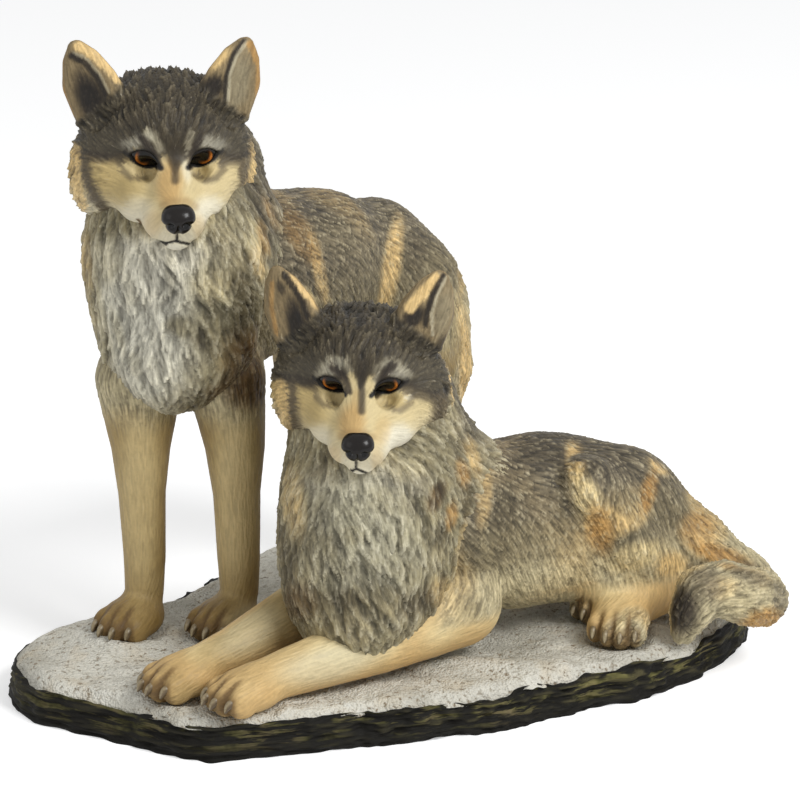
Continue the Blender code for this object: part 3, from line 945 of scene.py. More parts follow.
# Each face's own sheet: a corner on the front sheet, four steps to one there. Under the brow line the
# face is pale. A stroke is its line, thickness, softness, paint and strength
FACE_CORNER = {"standing": (50, 30), "lying": (270, 250)}
BROW_LINE = {
    "standing": [(60, 470), (150, 505), (230, 520), (300, 500),
                 (345, 475), (425, 500), (470, 535), (500, 585),
                 (530, 530), (560, 500), (650, 480), (710, 515), (760, 520), (840, 480)],
    "lying": [(20, 520), (110, 535), (170, 545), (215, 520), (290, 520), (325, 490), (362, 560), (398, 500),
              (430, 540), (545, 545), (620, 570), (690, 600), (760, 620)],
}
FACE_BLOTS = {
    "standing": [
        (352, 442, 62, 27, 160, "grey_lid", 0.75), (648, 448, 56, 25, 12, "grey_lid", 0.7),
        (330, 556, 54, 28, 10, "cream", 0.7), (640, 566, 52, 28, -10, "cream_deep_and_shade", 0.6),
        (270, 630, 90, 60, 20, "cream_deep_and_shade", 0.6), (690, 640, 80, 80, -20, "cream", 0.5),
        (350, 730, 60, 60, 30, "white", 0.5), (640, 730, 60, 60, -30, "white", 0.75),
        (455, 540, 16, 40, 10, "cream", 0.6), (545, 560, 18, 46, -8, "white", 0.5),
        (478, 615, 48, 78, 4, "tan", 0.8), (500, 680, 50, 30, 0, "tan", 0.3),
        (412, 775, 36, 52, 10, "tan", 0.3), (600, 790, 26, 50, -6, "tan", 0.3),
        (500, 884, 64, 24, 0, "white", 0.9), (358, 768, 7, 12, -25, "umber", 0.95),
    ],
    "lying": [
        (252, 462, 50, 28, 160, "grey_lid", 0.65), (500, 478, 52, 26, 24, "grey_lid", 0.6),
        (242, 590, 50, 26, 10, "cream", 0.7), (520, 604, 52, 26, -10, "cream_deep_and_shade", 0.7),
        (556, 590, 15, 12, 0, "white", 0.6), (160, 650, 50, 60, 10, "cream_deep_and_shade", 0.5),
        (590, 680, 60, 70, -20, "cream", 0.5), (520, 760, 60, 60, -30, "white", 0.8),
        (190, 760, 50, 60, 30, "white", 0.5), (338, 540, 14, 40, 0, "cream", 0.6),
        (405, 560, 18, 50, 0, "cream", 0.6), (328, 690, 48, 66, 6, "tan", 0.8),
        (345, 610, 18, 50, 0, "tan", 0.4), (450, 725, 30, 56, 10, "tan", 0.3),
        (255, 830, 28, 46, 0, "tan", 0.3), (430, 840, 24, 40, 0, "tan", 0.3),
        (352, 906, 54, 18, 0, "white", 0.9),
    ],
}
FACE_STROKES = {
    "standing": [
        ([(500, 470), (501, 602)], 10, 20, "brow", 0.62),
        ([(392, 405), (415, 430), (440, 472)], 14, 20, "brow_white", 0.54),
        ([(568, 405), (558, 440), (552, 476)], 11, 17, "brow_white", 0.50),
        ([(365, 428), (400, 474), (425, 512), (440, 548)], 12, 16, "dark_line", 0.86),
        ([(602, 425), (580, 465), (565, 505), (556, 548)], 11, 15, "dark_line", 0.81),
        ([(280, 512), (286, 560), (322, 592), (378, 592)], 5, 20, "crescent", 0.55),
        ([(580, 576), (620, 603), (665, 593), (696, 556), (690, 520)], 5, 20, "crescent", 0.60),
        ([(320, 494), (270, 514), (215, 508), (130, 510)], 12, 31, "dark_line", 0.57),
        ([(665, 500), (710, 520), (760, 518), (800, 500)], 14, 31, "dark_line", 0.57),
        ([(138, 530), (146, 590), (180, 665), (225, 725), (275, 770)], 12, 32, "crescent", 0.95),
        ([(778, 540), (778, 620), (745, 690), (700, 740), (645, 780)], 10, 29, "crescent", 0.9),
        ([(96, 480), (92, 560), (105, 640), (125, 700)], 34, 20, "ochre", 0.75),
        ([(818, 440), (824, 540), (806, 620), (780, 690), (730, 760)], 30, 18, "ochre", 0.75),
        ([(452, 702), (480, 686), (545, 686), (580, 706)], 6, 24, "tan_dark", 0.35),
        ([(430, 850), (462, 857), (505, 846), (545, 857), (574, 862)], 4, 5, "black", 0.95),
        ([(508, 815), (508, 846)], 4, 5, "black", 0.95),
    ],
    "lying": [
        ([(370, 430), (366, 645)], 8, 20, "brow", 0.72),
        ([(196, 496), (216, 456), (262, 434), (300, 444), (318, 482)], 14, 24, "brow_white", 0.43),
        ([(430, 520), (428, 472), (465, 442), (520, 456), (556, 500)], 13, 24, "brow_white", 0.43),
        ([(245, 462), (285, 492), (308, 530), (316, 566)], 11, 16, "dark_line", 0.81),
        ([(492, 460), (460, 490), (440, 530), (428, 574)], 13, 18, "dark_line", 0.86),
        ([(178, 545), (185, 590), (215, 618), (262, 625)], 5, 20, "crescent", 0.55),
        ([(470, 625), (520, 643), (560, 616), (573, 580)], 5, 20, "crescent", 0.51),
        ([(205, 524), (160, 536), (110, 522), (50, 520)], 12, 31, "dark_line", 0.57),
        ([(545, 545), (590, 570), (650, 590), (700, 610)], 14, 33, "dark_line", 0.62),
        ([(84, 550), (86, 650), (106, 730), (150, 800)], 14, 35, "crescent", 0.92),
        ([(684, 600), (672, 680), (636, 745), (570, 805)], 16, 37, "crescent", 0.92),
        ([(42, 540), (48, 620), (60, 700), (75, 760)], 30, 18, "ochre", 0.7),
        ([(738, 590), (738, 660), (706, 740), (650, 810)], 34, 22, "straw", 0.7),
        ([(284, 745), (310, 733), (380, 733), (408, 748)], 6, 24, "tan_dark", 0.35),
        ([(293, 881), (316, 888), (345, 875), (390, 894), (421, 886)], 4, 5, "black", 0.95),
        ([(343, 846), (343, 876)], 4, 5, "black", 0.95),
        ([(488, 802), (470, 836)], 4, 6, "umber", 0.8),
    ],
}
# The ears, on the same sheets
EAR_BLOTS = {
    "standing": [
        (172, 292, 50, 116, -24, "ear_deep", 1.0), (104, 112, 16, 22, -40, "ear_deep", 0.6),
        (670, 112, 60, 28, -45, "ochre", 0.9), (652, 228, 44, 36, -40, "ear_deep", 0.95),
        (756, 210, 40, 110, 8, "ear_grey", 0.8), (760, 350, 26, 50, 14, "ear_in", 0.7),
    ],
    "lying": [
        (112, 312, 34, 100, -14, "ear_deep", 0.95), (44, 150, 14, 26, -20, "ear_deep", 0.6),
        (575, 268, 44, 30, -40, "ear_deep", 0.9), (690, 250, 34, 90, 10, "ear_grey", 0.7),
        (690, 390, 26, 50, 14, "ear_deep", 0.6),
    ],
}
EAR_STROKES = {
    "standing": [
        ([(112, 62), (170, 92), (232, 150), (275, 192)], 26, 16, "ochre", 0.9),
        ([(84, 98), (140, 130), (190, 190), (222, 262)], 11, 13, "ear_deep", 0.8),
        ([(95, 88), (150, 118), (200, 178), (236, 250)], 4, 8, "brow_white", 0.45),
        ([(776, 42), (732, 100), (706, 180), (700, 275)], 8, 10, "ear_deep", 0.85),
        ([(786, 48), (744, 108), (718, 185), (712, 280)], 6, 8, "brow_white", 0.6),
        ([(800, 52), (838, 140), (836, 260), (820, 380)], 14, 14, "ochre_deep", 0.7),
        ([(46, 110), (42, 190), (58, 270), (86, 340)], 8, 12, "ochre_deep", 0.6),
    ],
    "lying": [
        ([(92, 118), (140, 150), (182, 202), (222, 246)], 30, 18, "ochre", 0.9),
        ([(58, 100), (95, 150), (130, 210), (152, 268)], 12, 13, "ear_deep", 0.85),
        ([(560, 228), (612, 170), (668, 115)], 32, 16, "ochre", 0.9),
        ([(692, 104), (650, 180), (630, 245), (622, 300)], 10, 12, "ear_deep", 0.85),
        ([(704, 110), (668, 182), (648, 250), (650, 340)], 5, 8, "brow_white", 0.6),
        ([(745, 160), (753, 240), (748, 340), (730, 420)], 9, 10, "ochre_deep", 0.7),
        ([(8, 130), (6, 230), (26, 330)], 7, 10, "ochre_deep", 0.6),
    ],
}


def brushed_over(colour, spots, blots, strokes, show, paints):
    """Blots, then strokes, laid over a colour where show lets them."""
    colour = marked(colour, spots, blots, show, paints)
    for line, thick, soft, paint, strength in strokes:
        cover = stroke(spots, line, thick, soft) * strength * show
        colour = washed(colour, getattr(paints, paint), cover)
    return colour


def face_paint(name, q, sheet, spots, normal_own, paints):
    """The face's colours: a pale face under a dark crown in front, ochre and dark behind, then the
    blots and strokes of its sheet, and the lid rims."""
    f, left, up = q.T
    show = ease(-17, -9, f) * ease(-0.25, 0.1, normal_own[:, 0])
    line = np.array(BROW_LINE[name], float)
    above = ease(-14, 14, np.interp(sheet[:, 0], line[:, 0], line[:, 1]) - sheet[:, 1])
    # Painted shade: the face's own right half, away from the key lamp, is washed with deep cream
    pale = washed(paints.cream, paints.cream_deep_and_shade, ease(-3, -15, left) * 0.85)
    pale = washed(pale, paints.white, ease(-8, -20, up) * 0.7)
    dark = washed(paints.crown, paints.temple, ease(8, 15, np.abs(left)) * ease(14, 4, up) * 0.7)
    side = washed(paints.ochre, paints.straw_dull, ease(-10, -20, up) * 0.7)
    side = washed(side, paints.crown, ease(-5, 4, up))
    colour = washed(side, washed(pale, dark, above), ease(-17, -10, f))
    colour = brushed_over(colour, sheet, FACE_BLOTS[name], FACE_STROKES[name], show, paints)
    # Lid rims, drawn out to a point at the inner corners
    for turn in (-1, 1):
        rim = 1 - ease(0.3, 0.85, lid_distance(spots, turn))
        corner = [(turn * 5.4, -1.9), (turn * 4.1, -3.5)]
        tail = [(turn * 12.6, 0.9), (turn * 14.8, 1.5)]
        colour = washed(colour, paints.black, show * rim)
        colour = washed(colour, paints.black, show * stroke(spots, corner, 0.8, 0.6))
        colour = washed(colour, paints.black, show * stroke(spots, tail, 0.4, 0.8) * 0.7)
    return colour


def ear_share(q):
    """1 on the ears: high and to the side of the skull."""
    side = np.abs(q[:, 1] - SKULL_SHIFT)
    return ease(10.5, 14, q[:, 2] - 0.9 * (20 - side)) * ease(10, 14, side)


def ear_paint(name, colour, sheet, normal_own, ears, paints):
    """Brown inside with the marks of the sheet, and tan behind."""
    inside = ease(-0.1, 0.3, normal_own[:, 0])
    cup = brushed_over(paints.ear_in, sheet, EAR_BLOTS[name], EAR_STROKES[name], inside, paints)
    return washed(colour, washed(paints.ear_back, cup, inside), ears)


def make_head(wolf, step, paints, relief, material):
    """The head's skin with lids, mouth and coat raised on it, and its face painted."""
    seat, skull, drift, seed = HEADS[wolf]
    form = head_form(seat, skull)
    points, faces, normal = skin(form, step)
    q = seat.own(points)
    normal_own = normal @ seat.axes
    spots = face_sheet(q, drift)
    ears = ear_share(q)
    side = np.abs(q[:, 1] - SKULL_SHIFT)
    away = q - (26, 0, -8)
    swept = unit(away)
    swept[:, 2] -= 0.9 * ease(16, 26, side) * ease(6, -8, q[:, 2])
    up_ear = np.column_stack([np.full(len(q), -0.2), 0.2 * np.sign(q[:, 1]), np.ones(len(q))])
    flow = swept * (1 - ears[:, None]) + up_ear * ears[:, None]
    swirl = cloud(points, 9.0, seed) * 0.35
    along, across = combed(normal, flow @ seat.axes.T, swirl)
    far = np.linalg.norm(away, axis=1)
    fine = locks(points, normal, along, across, 3.6, 1.25, 0.12, seed + 1)
    tuft = locks(points, normal, along, across, 7.5, 2.6, 0.15, seed + 2)
    crown = ease(4, 12, q[:, 2]) * (1 - ears)
    rough = np.maximum(ease(20, 26, side) * ease(-3, -9, q[:, 0]), ease(-10, -18, q[:, 0]))
    rough = rough * (1 - ears)
    lift = fine["height"] * (0.04 + 0.2 * ease(24, 38, far) + 0.26 * crown) * (1 - 0.8 * ears)
    lift = lift + (tuft["height"] - 0.4) * (1.7 * rough + 0.75 * crown)
    front = ease(-12, -6, q[:, 0]) * ease(0.0, 0.3, normal_own[:, 0])
    lids = np.full(len(points), 9.0)
    for turn in (-1, 1):
        d = lid_distance(spots, turn)
        lids = np.minimum(lids, d)
        lid = 0.55 * (ease(-0.3, 0.35, d) - ease(0.9, 2.3, d))
        lift = lift + front * (lid - 0.75 * (1 - ease(-0.7, 0.1, d)))
    lift = lift - front * 0.45 * stroke(spots, MOUTH, 0.3, 0.9)
    lift = lift - front * 0.35 * stroke(spots, CLEFT, 0.3, 0.9)
    # Each lock carries the paint of a place a little up or down its own length, so edges are feathered
    feather = (fine["tint"] - 0.5) * (1.1 + 0.9 * (1 - ears)) * ease(0.2, 1.2, lids) * ease(14, 22, far)
    carried = points + along * feather[:, None]
    sheet = (laid_out(carried) - FACE_CORNER[wolf]) * 4
    colour = face_paint(wolf, q, sheet, spots, normal_own, paints)
    colour = ear_paint(wolf, colour, sheet, normal_own, ears, paints)
    calm = {"height": 0.35 + 0.65 * fine["height"], "u": fine["u"], "tint": fine["tint"]}
    strong = ease(24, 38, far) * (1 - 0.5 * ears)
    shaded = hair_shade(colour, calm, paints.pale_tip, 0.22, 0.34)
    colour = washed(colour, shaded, 0.15 + 0.85 * strong)
    shaded = hair_shade(colour, tuft, paints.pale_tip, 0.3, 0.45)
    colour = washed(colour, shaded, rough + 0.9 * crown)
    points = points + normal * (lift * relief * seat.scale)[:, None]
    streaks = 0.22 + 0.78 * np.maximum(ease(24, 40, far), ease(2, 7, q[:, 2]))
    add_piece(wolf + "_head", material, points, faces, None, colour, along, streaks * (1 - 0.45 * ears))


def on_face(form, seat, spots, drift):
    """Own coordinates of the outermost point of a head behind each spot of its sheet: steps in from
    the front until the depth turns below zero, then a straight cut between the last two steps."""
    ticks = np.arange(16.0, -8.0, -0.2)
    f = np.broadcast_to(ticks[None, :], (len(spots), len(ticks)))
    left = np.broadcast_to(spots[:, :1] + drift, f.shape)
    up = (spots[:, 1:] - SHEET_MIDDLE + SHEET_FORWARD * f) / SHEET_UP
    q = np.stack([f, left, up], -1)
    depth = form.depth(seat.out(q.reshape(-1, 3))).reshape(f.shape)
    first = np.argmax(depth < 0, axis=1)
    rows = np.arange(len(spots))
    a = depth[rows, first - 1]
    b = depth[rows, first]
    return q[rows, first - 1] + (a / (a - b))[:, None] * (q[rows, first] - q[rows, first - 1])


def make_eyes(wolf, paints, material):
    """Two almond domes: rings across the eye from corner to corner. The front half of a ring stands
    over the face by a round crown, and the back half lies behind it. Painted as iris and pupil."""
    seat, skull, drift = HEADS[wolf][:3]
    form = head_form(seat, skull)
    s, t = np.meshgrid(np.linspace(-0.985, 0.985, 30), np.linspace(-1, 1, 21), indexing="ij")
    lean = np.where(t > 0, EYE_UP, EYE_DOWN) * t * (1 - s * s) ** EYE_ARCH
    dome = 0.75 * np.sqrt(np.clip((1 - s * s) * (1 - t * t), 0, 1)) - 0.35
    eye = EYE_MIDDLE + s[..., None] * EYE_HALF * EYE_ALONG + lean[..., None] * EYE_ACROSS
    tubes = []
    for side in (-1, 1):
        spots = (eye * (-side, 1)).reshape(-1, 2)
        face = on_face(form, seat, spots, drift).reshape(*s.shape, 3)
        front = face + (dome[..., None] * (1, 0, 0))
        back = face[:, ::-1] - (1.6, 0, 0)
        rings = seat.out(np.concatenate([front, back[:, 1:-1]], 1))
        tubes.append(closed_tube(rings, rings[0].mean(0), rings[-1].mean(0)))
    points, faces, tips = several(tubes)
    spots = np.concatenate([eye, eye[:, ::-1][:, 1:-1]], 1).reshape(-1, 2)
    spots = np.tile(np.concatenate([spots, spots[:1], spots[-1:]]), (2, 1))
    r = np.hypot(spots[:, 0] - IRIS[0], spots[:, 1] - IRIS[1])
    ring = ease(1.35, 1.65, r) * (1 - ease(2.4, 2.75, r))
    lit = ease(-0.4, 0.8, ((spots - IRIS) @ (-0.7, -0.7)) / (r + 1e-6))
    amber = washed(paints.iris_dark, paints.iris, lit * ease(1.3, 2.2, r))
    colour = washed(paints.black, amber, ring * (0.25 + 0.75 * lit))
    add_piece(wolf + "_eyes", material, points, faces, tips, colour)


def make_nose(wolf, paints, material):
    """A boxy egg: its middle and sides raised by a power of 0.8, two nostrils and a groove sunk by
    round hollows, and the top flattened forwards."""
    seat = HEADS[wolf][0]
    rows = np.linspace(0, np.pi, 42)[1:-1]
    cols = np.linspace(0, 2 * np.pi, 56, endpoint=False)
    a, b = np.meshgrid(rows, cols, indexing="ij")

    def boxy(v):
        """Drawn out towards a box."""
        return np.sign(v) * np.abs(v) ** 0.8

    ball = np.stack([np.cos(a), boxy(np.sin(a) * np.cos(b)), boxy(np.sin(a) * np.sin(b))], -1)
    size = np.array(NOSE_SIZE)
    taper = 1 - 0.22 * ease(0.1, -0.9, ball[..., 2])
    ball = ball * np.stack([np.ones_like(taper), taper, np.ones_like(taper)], -1)
    sink = np.zeros(a.shape)
    ahead = ease(0, 0.3, ball[..., 0])
    for side in (-1, 1):
        hole = np.hypot((ball[..., 1] - side * 0.52) / 0.24, (ball[..., 2] + 0.22) / 0.24)
        sink += 1.5 * np.exp(-hole ** 2) * ahead
        wing = np.hypot((ball[..., 1] - side * 0.92) / 0.2, (ball[..., 2] + 0.35) / 0.16)
        sink += 0.7 * np.exp(-wing ** 2)
    sink += 0.8 * np.exp(-(ball[..., 1] / 0.11) ** 2) * ease(0.0, -0.35, ball[..., 2]) * ahead
    spread = ball * size
    spread = spread - unit(ball) * sink[..., None]
    spread[..., 0] -= 0.25 * np.clip(spread[..., 2], 0, 9)
    rings = seat.out(np.array(NOSE_MIDDLE) + spread)
    first = seat.out(np.array(NOSE_MIDDLE) + (size[0], 0, 0))
    last = seat.out(np.array(NOSE_MIDDLE) - (size[0], 0, 0))
    points, faces, tips = closed_tube(rings, rings[0].mean(0) * 0.5 + first * 0.5, last)
    dark = np.concatenate([np.clip(sink, 0, 1).ravel(), [0, 0]])
    colour = washed(paints.nose, NOSE_SHADE, dark)
    add_piece(wolf + "_nose", material, points, faces, tips, colour)


def make_claws(wolf, paints, material):
    """Four claws on each paw: round rings carried along a quarter bow that drops and narrows to a
    blunt point, flattened from the sides, with a ridge along the top."""
    seat, paws = PAWS[wolf]
    tubes = []
    shades = []
    run = np.linspace(0, 1, 12)
    turn = np.linspace(0, 2 * np.pi, 14, endpoint=False)
    for (x, y, z), heading in paws:
        axes = turned(heading)
        for p, w in TOES:
            root = np.array((x, y, z - 1)) + axes @ np.array((p + 3.9, w * 1.02, 0.9))
            bow = np.stack([3.1 * np.sin(1.25 * run), 0 * run, -3.1 * (1 - np.cos(1.25 * run)) * 1.1], 1)
            r = 1.25 * (1 - run ** 2.2) ** 0.6 + 0.12
            ring = np.stack([0.35 * np.sin(turn), 0.85 * np.cos(turn), 1.05 * np.sin(turn)], 1)
            rings = bow[:, None] + r[:, None, None] * ring[None]
            rings = seat.out(root + rings @ axes.T)
            tubes.append(closed_tube(rings, rings[0].mean(0), rings[-1].mean(0)))
            ridge = np.broadcast_to(ease(0.2, 0.95, np.sin(turn)), (len(run), len(turn)))
            shades.append(np.concatenate([(ridge * (0.4 + 0.6 * run[:, None])).ravel(), [0, 1]]))
    points, faces, tips = several(tubes)
    share = np.concatenate(shades)[:, None]
    colour = paints.claw * (1 - share) + paints.claw_pale * share
    add_piece(wolf + "_claws", material, points, faces, tips, colour)


STANDING_RUFF_MARKS = (
    (150, 258, 58, 20, 0, "white", 0.9), (138, 305, 52, 38, -8, "bib", 0.9),
    (150, 362, 44, 42, 10, "bib", 0.85), (152, 275, 34, 26, 0, "white", 0.5),
    (86, 290, 8, 62, -4, "ochre", 0.65), (98, 330, 10, 46, -8, "straw", 0.5),
    (108, 262, 14, 18, 0, "straw", 0.35), (96, 300, 5, 16, 0, "olive", 0.5),
    (118, 330, 4, 20, -14, "olive", 0.4), (104, 352, 5, 16, -10, "olive", 0.4),
    (216, 262, 18, 12, -38, "olive", 0.4), (216, 288, 19, 15, 20, "straw", 0.95),
    (239, 283, 11, 14, 10, "olive_dark", 0.65), (226, 312, 22, 12, 20, "olive", 0.5),
    (246, 315, 12, 22, 0, "olive_dark", 0.5), (181, 327, 14, 9, 12, "olive", 0.75),
    (208, 345, 16, 8, 30, "olive_dark", 0.6), (232, 352, 20, 14, 0, "straw_dull", 0.5),
    # Painted shadow: the next two umber blots stand for the shade over the shoulder and upper foreleg to the
    # right of the chest
    (252, 368, 26, 34, 10, "umber", 1.0), (232, 396, 22, 14, 0, "umber", 0.8),
    (196, 372, 14, 14, 0, "olive", 0.35), (258, 262, 6, 16, -8, "ochre", 0.6),
    (262, 238, 5, 16, -14, "ochre_deep", 0.5), (270, 214, 5, 16, -24, "ochre_deep", 0.5),
    (282, 222, 6, 22, -26, "ochre", 0.4), (250, 234, 6, 14, 10, "straw", 0.5),
)
LYING_RUFF_MARKS = (
    (362, 484, 56, 18, 0, "bib", 0.5), (362, 520, 46, 34, 0, "bib_dusk", 0.85),
    (352, 562, 40, 26, 0, "bib_dusk", 0.6), (400, 556, 26, 30, 0, "bib_dusk", 0.55),
    (294, 500, 10, 34, -6, "ochre", 0.55), (286, 560, 9, 34, -14, "olive_dark", 0.6),
    (300, 602, 18, 16, 0, "umber", 0.6), (352, 536, 12, 8, 0, "olive", 0.55),
    (384, 500, 12, 12, 0, "olive", 0.45), (330, 548, 8, 14, -12, "olive", 0.5),
    (344, 600, 18, 10, 0, "olive_dark", 0.65), (385, 598, 16, 9, 0, "olive", 0.5),
    (420, 602, 20, 12, -10, "olive_dark", 0.8), (410, 575, 10, 10, 0, "olive", 0.5),
    (436, 497, 7, 14, 24, "umber", 0.75), (450, 516, 5, 13, 12, "ochre_deep", 0.7),
    (428, 530, 8, 14, 10, "olive", 0.5), (462, 474, 6, 13, -14, "ochre_deep", 0.7),
    (474, 462, 6, 22, -18, "ochre", 0.75), (470, 500, 7, 26, 8, "olive_dark", 0.45),
    (462, 545, 6, 26, 12, "ochre", 0.55), (444, 592, 14, 14, 0, "ochre", 0.6),
    (440, 560, 9, 16, 8, "straw", 0.5), (425, 620, 18, 8, 0, "straw_dull", 0.4),
    (320, 470, 20, 12, 0, "straw_dull", 0.3), (410, 470, 18, 10, -20, "straw", 0.5),
)
STANDING_BODY_MARKS = (
    # Painted shadow: umber over the shoulder to the right of the chest
    (252, 382, 26, 26, 0, "umber", 0.9),
    (392, 262, 8, 40, 8, "ochre", 0.95), (384, 300, 5, 16, 4, "ochre", 0.7),
    (318, 270, 6, 34, -14, "ochre", 0.7), (306, 300, 9, 14, -30, "ochre_light", 0.8),
    (300, 236, 12, 30, -30, "ochre_deep", 0.45), (350, 320, 30, 16, 0, "belly", 0.4),
    (340, 240, 34, 16, 20, "straw_dull", 0.25), (416, 252, 9, 20, 0, "saddle_dark", 0.5),
    (464, 370, 8, 60, -4, "ochre", 0.95), (452, 330, 6, 40, -4, "straw_dull", 0.7),
    (430, 300, 10, 30, 0, "grey_mid", 0.5), (456, 392, 4, 30, 0, "white", 0.4),
)
LYING_BODY_MARKS = (
    (545, 452, 66, 24, 4, "saddle_dark", 0.8), (530, 498, 44, 28, 0, "saddle", 0.6),
    (575, 462, 8, 22, -10, "ochre", 0.95), (588, 500, 13, 26, -24, "ochre_light", 0.95),
    (616, 522, 28, 13, -20, "ochre", 0.9), (636, 556, 26, 12, -18, "ochre_light", 0.8),
    (600, 530, 12, 22, -10, "ochre_deep", 0.7), (661, 466, 12, 7, 30, "ochre", 0.75),
    (649, 492, 7, 20, 14, "ochre_deep", 0.8), (697, 530, 16, 16, 30, "ochre_deep", 0.6),
    (668, 505, 9, 20, -30, "olive_dark", 0.3), (606, 462, 16, 10, 0, "saddle_dark", 0.4),
    (625, 500, 12, 20, -30, "grey_mid", 0.5), (560, 490, 5, 34, -6, "olive_dark", 0.55),
    (484, 500, 7, 26, 6, "ochre", 0.65), (486, 545, 6, 20, 0, "straw_dull", 0.5),
    (505, 520, 12, 30, 0, "olive_dark", 0.45), (540, 580, 46, 18, 4, "belly", 0.55),
    (530, 545, 34, 20, 0, "straw_dull", 0.35), (470, 610, 12, 16, 0, "straw_dull", 0.6),
    (681, 610, 15, 22, 10, "tail_dark", 0.95), (672, 566, 15, 13, -10, "ochre", 0.9),
    (704, 580, 14, 20, -30, "saddle", 0.7), (704, 545, 14, 12, 20, "ochre", 0.5),
    (722, 556, 28, 9, 20, "ochre_deep", 0.8),
    (752, 574, 20, 10, 24, "saddle", 0.7), (764, 620, 22, 11, -8, "ochre_deep", 0.8),
    (738, 604, 14, 14, 30, "straw", 0.6), (780, 596, 7, 20, -10, "saddle", 0.6),
    (775, 572, 10, 8, 30, "ochre", 0.5), (590, 598, 12, 14, 0, "ochre_deep", 0.5),
    (640, 590, 20, 14, 0, "cream", 0.6), (608, 616, 18, 18, 0, "ochre_light", 0.6),
)

# Shade on the legs of both wolves
LEG_MARKS = (
    (262, 622, 62, 24, -32, "leg_dusk", 0.75), (160, 688, 34, 18, 0, "leg_dusk", 0.45),
    (266, 440, 16, 50, 0, "paw_dusk", 0.4), (236, 500, 22, 90, 0, "leg", 0.7),
    (330, 664, 46, 17, -14, "cream_pale", 0.6), (250, 630, 34, 20, -32, "cream_pale", 0.45),
    (140, 500, 20, 100, 0, "leg", 0.6),
    (206, 704, 30, 16, 0, "leg_dusk", 0.35),
)


def toward_sheet(normal):
    """1 where the surface faces the front sheet, 0 where it faces away."""
    return ease(-0.05, 0.3, -normal[:, 1])


def make_ruff(name, form, seat, marks, nape, seed, step, paints, relief, material):
    """A chest and neck in long wavy locks over short ones, with bib, tufts and patches painted, and painted
    shadow where its marks give it.
    """
    points, faces, normal = skin(form, step)
    q = seat.own(points)
    lumps = cloud(points, 11.0, seed) * 0.5 + cloud(points, 6.0, seed + 5) * 0.3
    swirl = cloud(points, 13.0, seed + 1) * 0.55 + cloud(points, 6.5, seed + 4) * 0.3
    along, across = combed(normal, form.flow(points), swirl)
    tuft = locks(points, normal, along, across, 17.0, 5.0, 0.34, seed + 6)
    long = locks(points, normal, along, across, 12.0, 2.1, 0.6, seed + 2)
    short = locks(points, normal, along, across, 6.5, 1.0, 0.5, seed + 3)
    lift = (0.9 * lumps + 1.25 * (tuft["height"] - 0.5) + 0.6 * (long["height"] - 0.45)
            + 0.22 * (short["height"] - 0.3))
    spots = laid_out(points)
    show = toward_sheet(normal)
    ground = washed(paints.olive, paints.straw_dull, ease(-0.2, 0.6, cloud(points, 9.0, seed + 7)) * 0.6)
    ground = washed(ground, paints.olive_dark, ease(0.1, 0.6, cloud(points, 8.0, seed + 8)) * 0.5)
    back = ease(0, -10, q[:, 0]) * ease(nape - 10, nape + 6, q[:, 2])
    ground = washed(ground, paints.saddle_dark, back * 0.9)
    colour = marked(ground, spots, marks, show, paints)
    patchy = ease(0.25, 0.6, cloud(points * (1, 1, 0.6), 6.5, seed + 9))
    colour = washed(colour, paints.olive, patchy * 0.2)
    colour = colour * (1 + 0.07 * lumps)[:, None]
    colour = hair_shade(colour, tuft, paints.lit_tip, 0.30, 0.26)
    colour = hair_shade(colour, long, paints.lit_tip, 0.35, 0.24)
    colour = hair_shade(colour, short, paints.lit_tip, 0.25, 0.10)
    points = points + normal * (lift * relief)[:, None]
    add_piece(name, material, points, faces, None, colour, along)


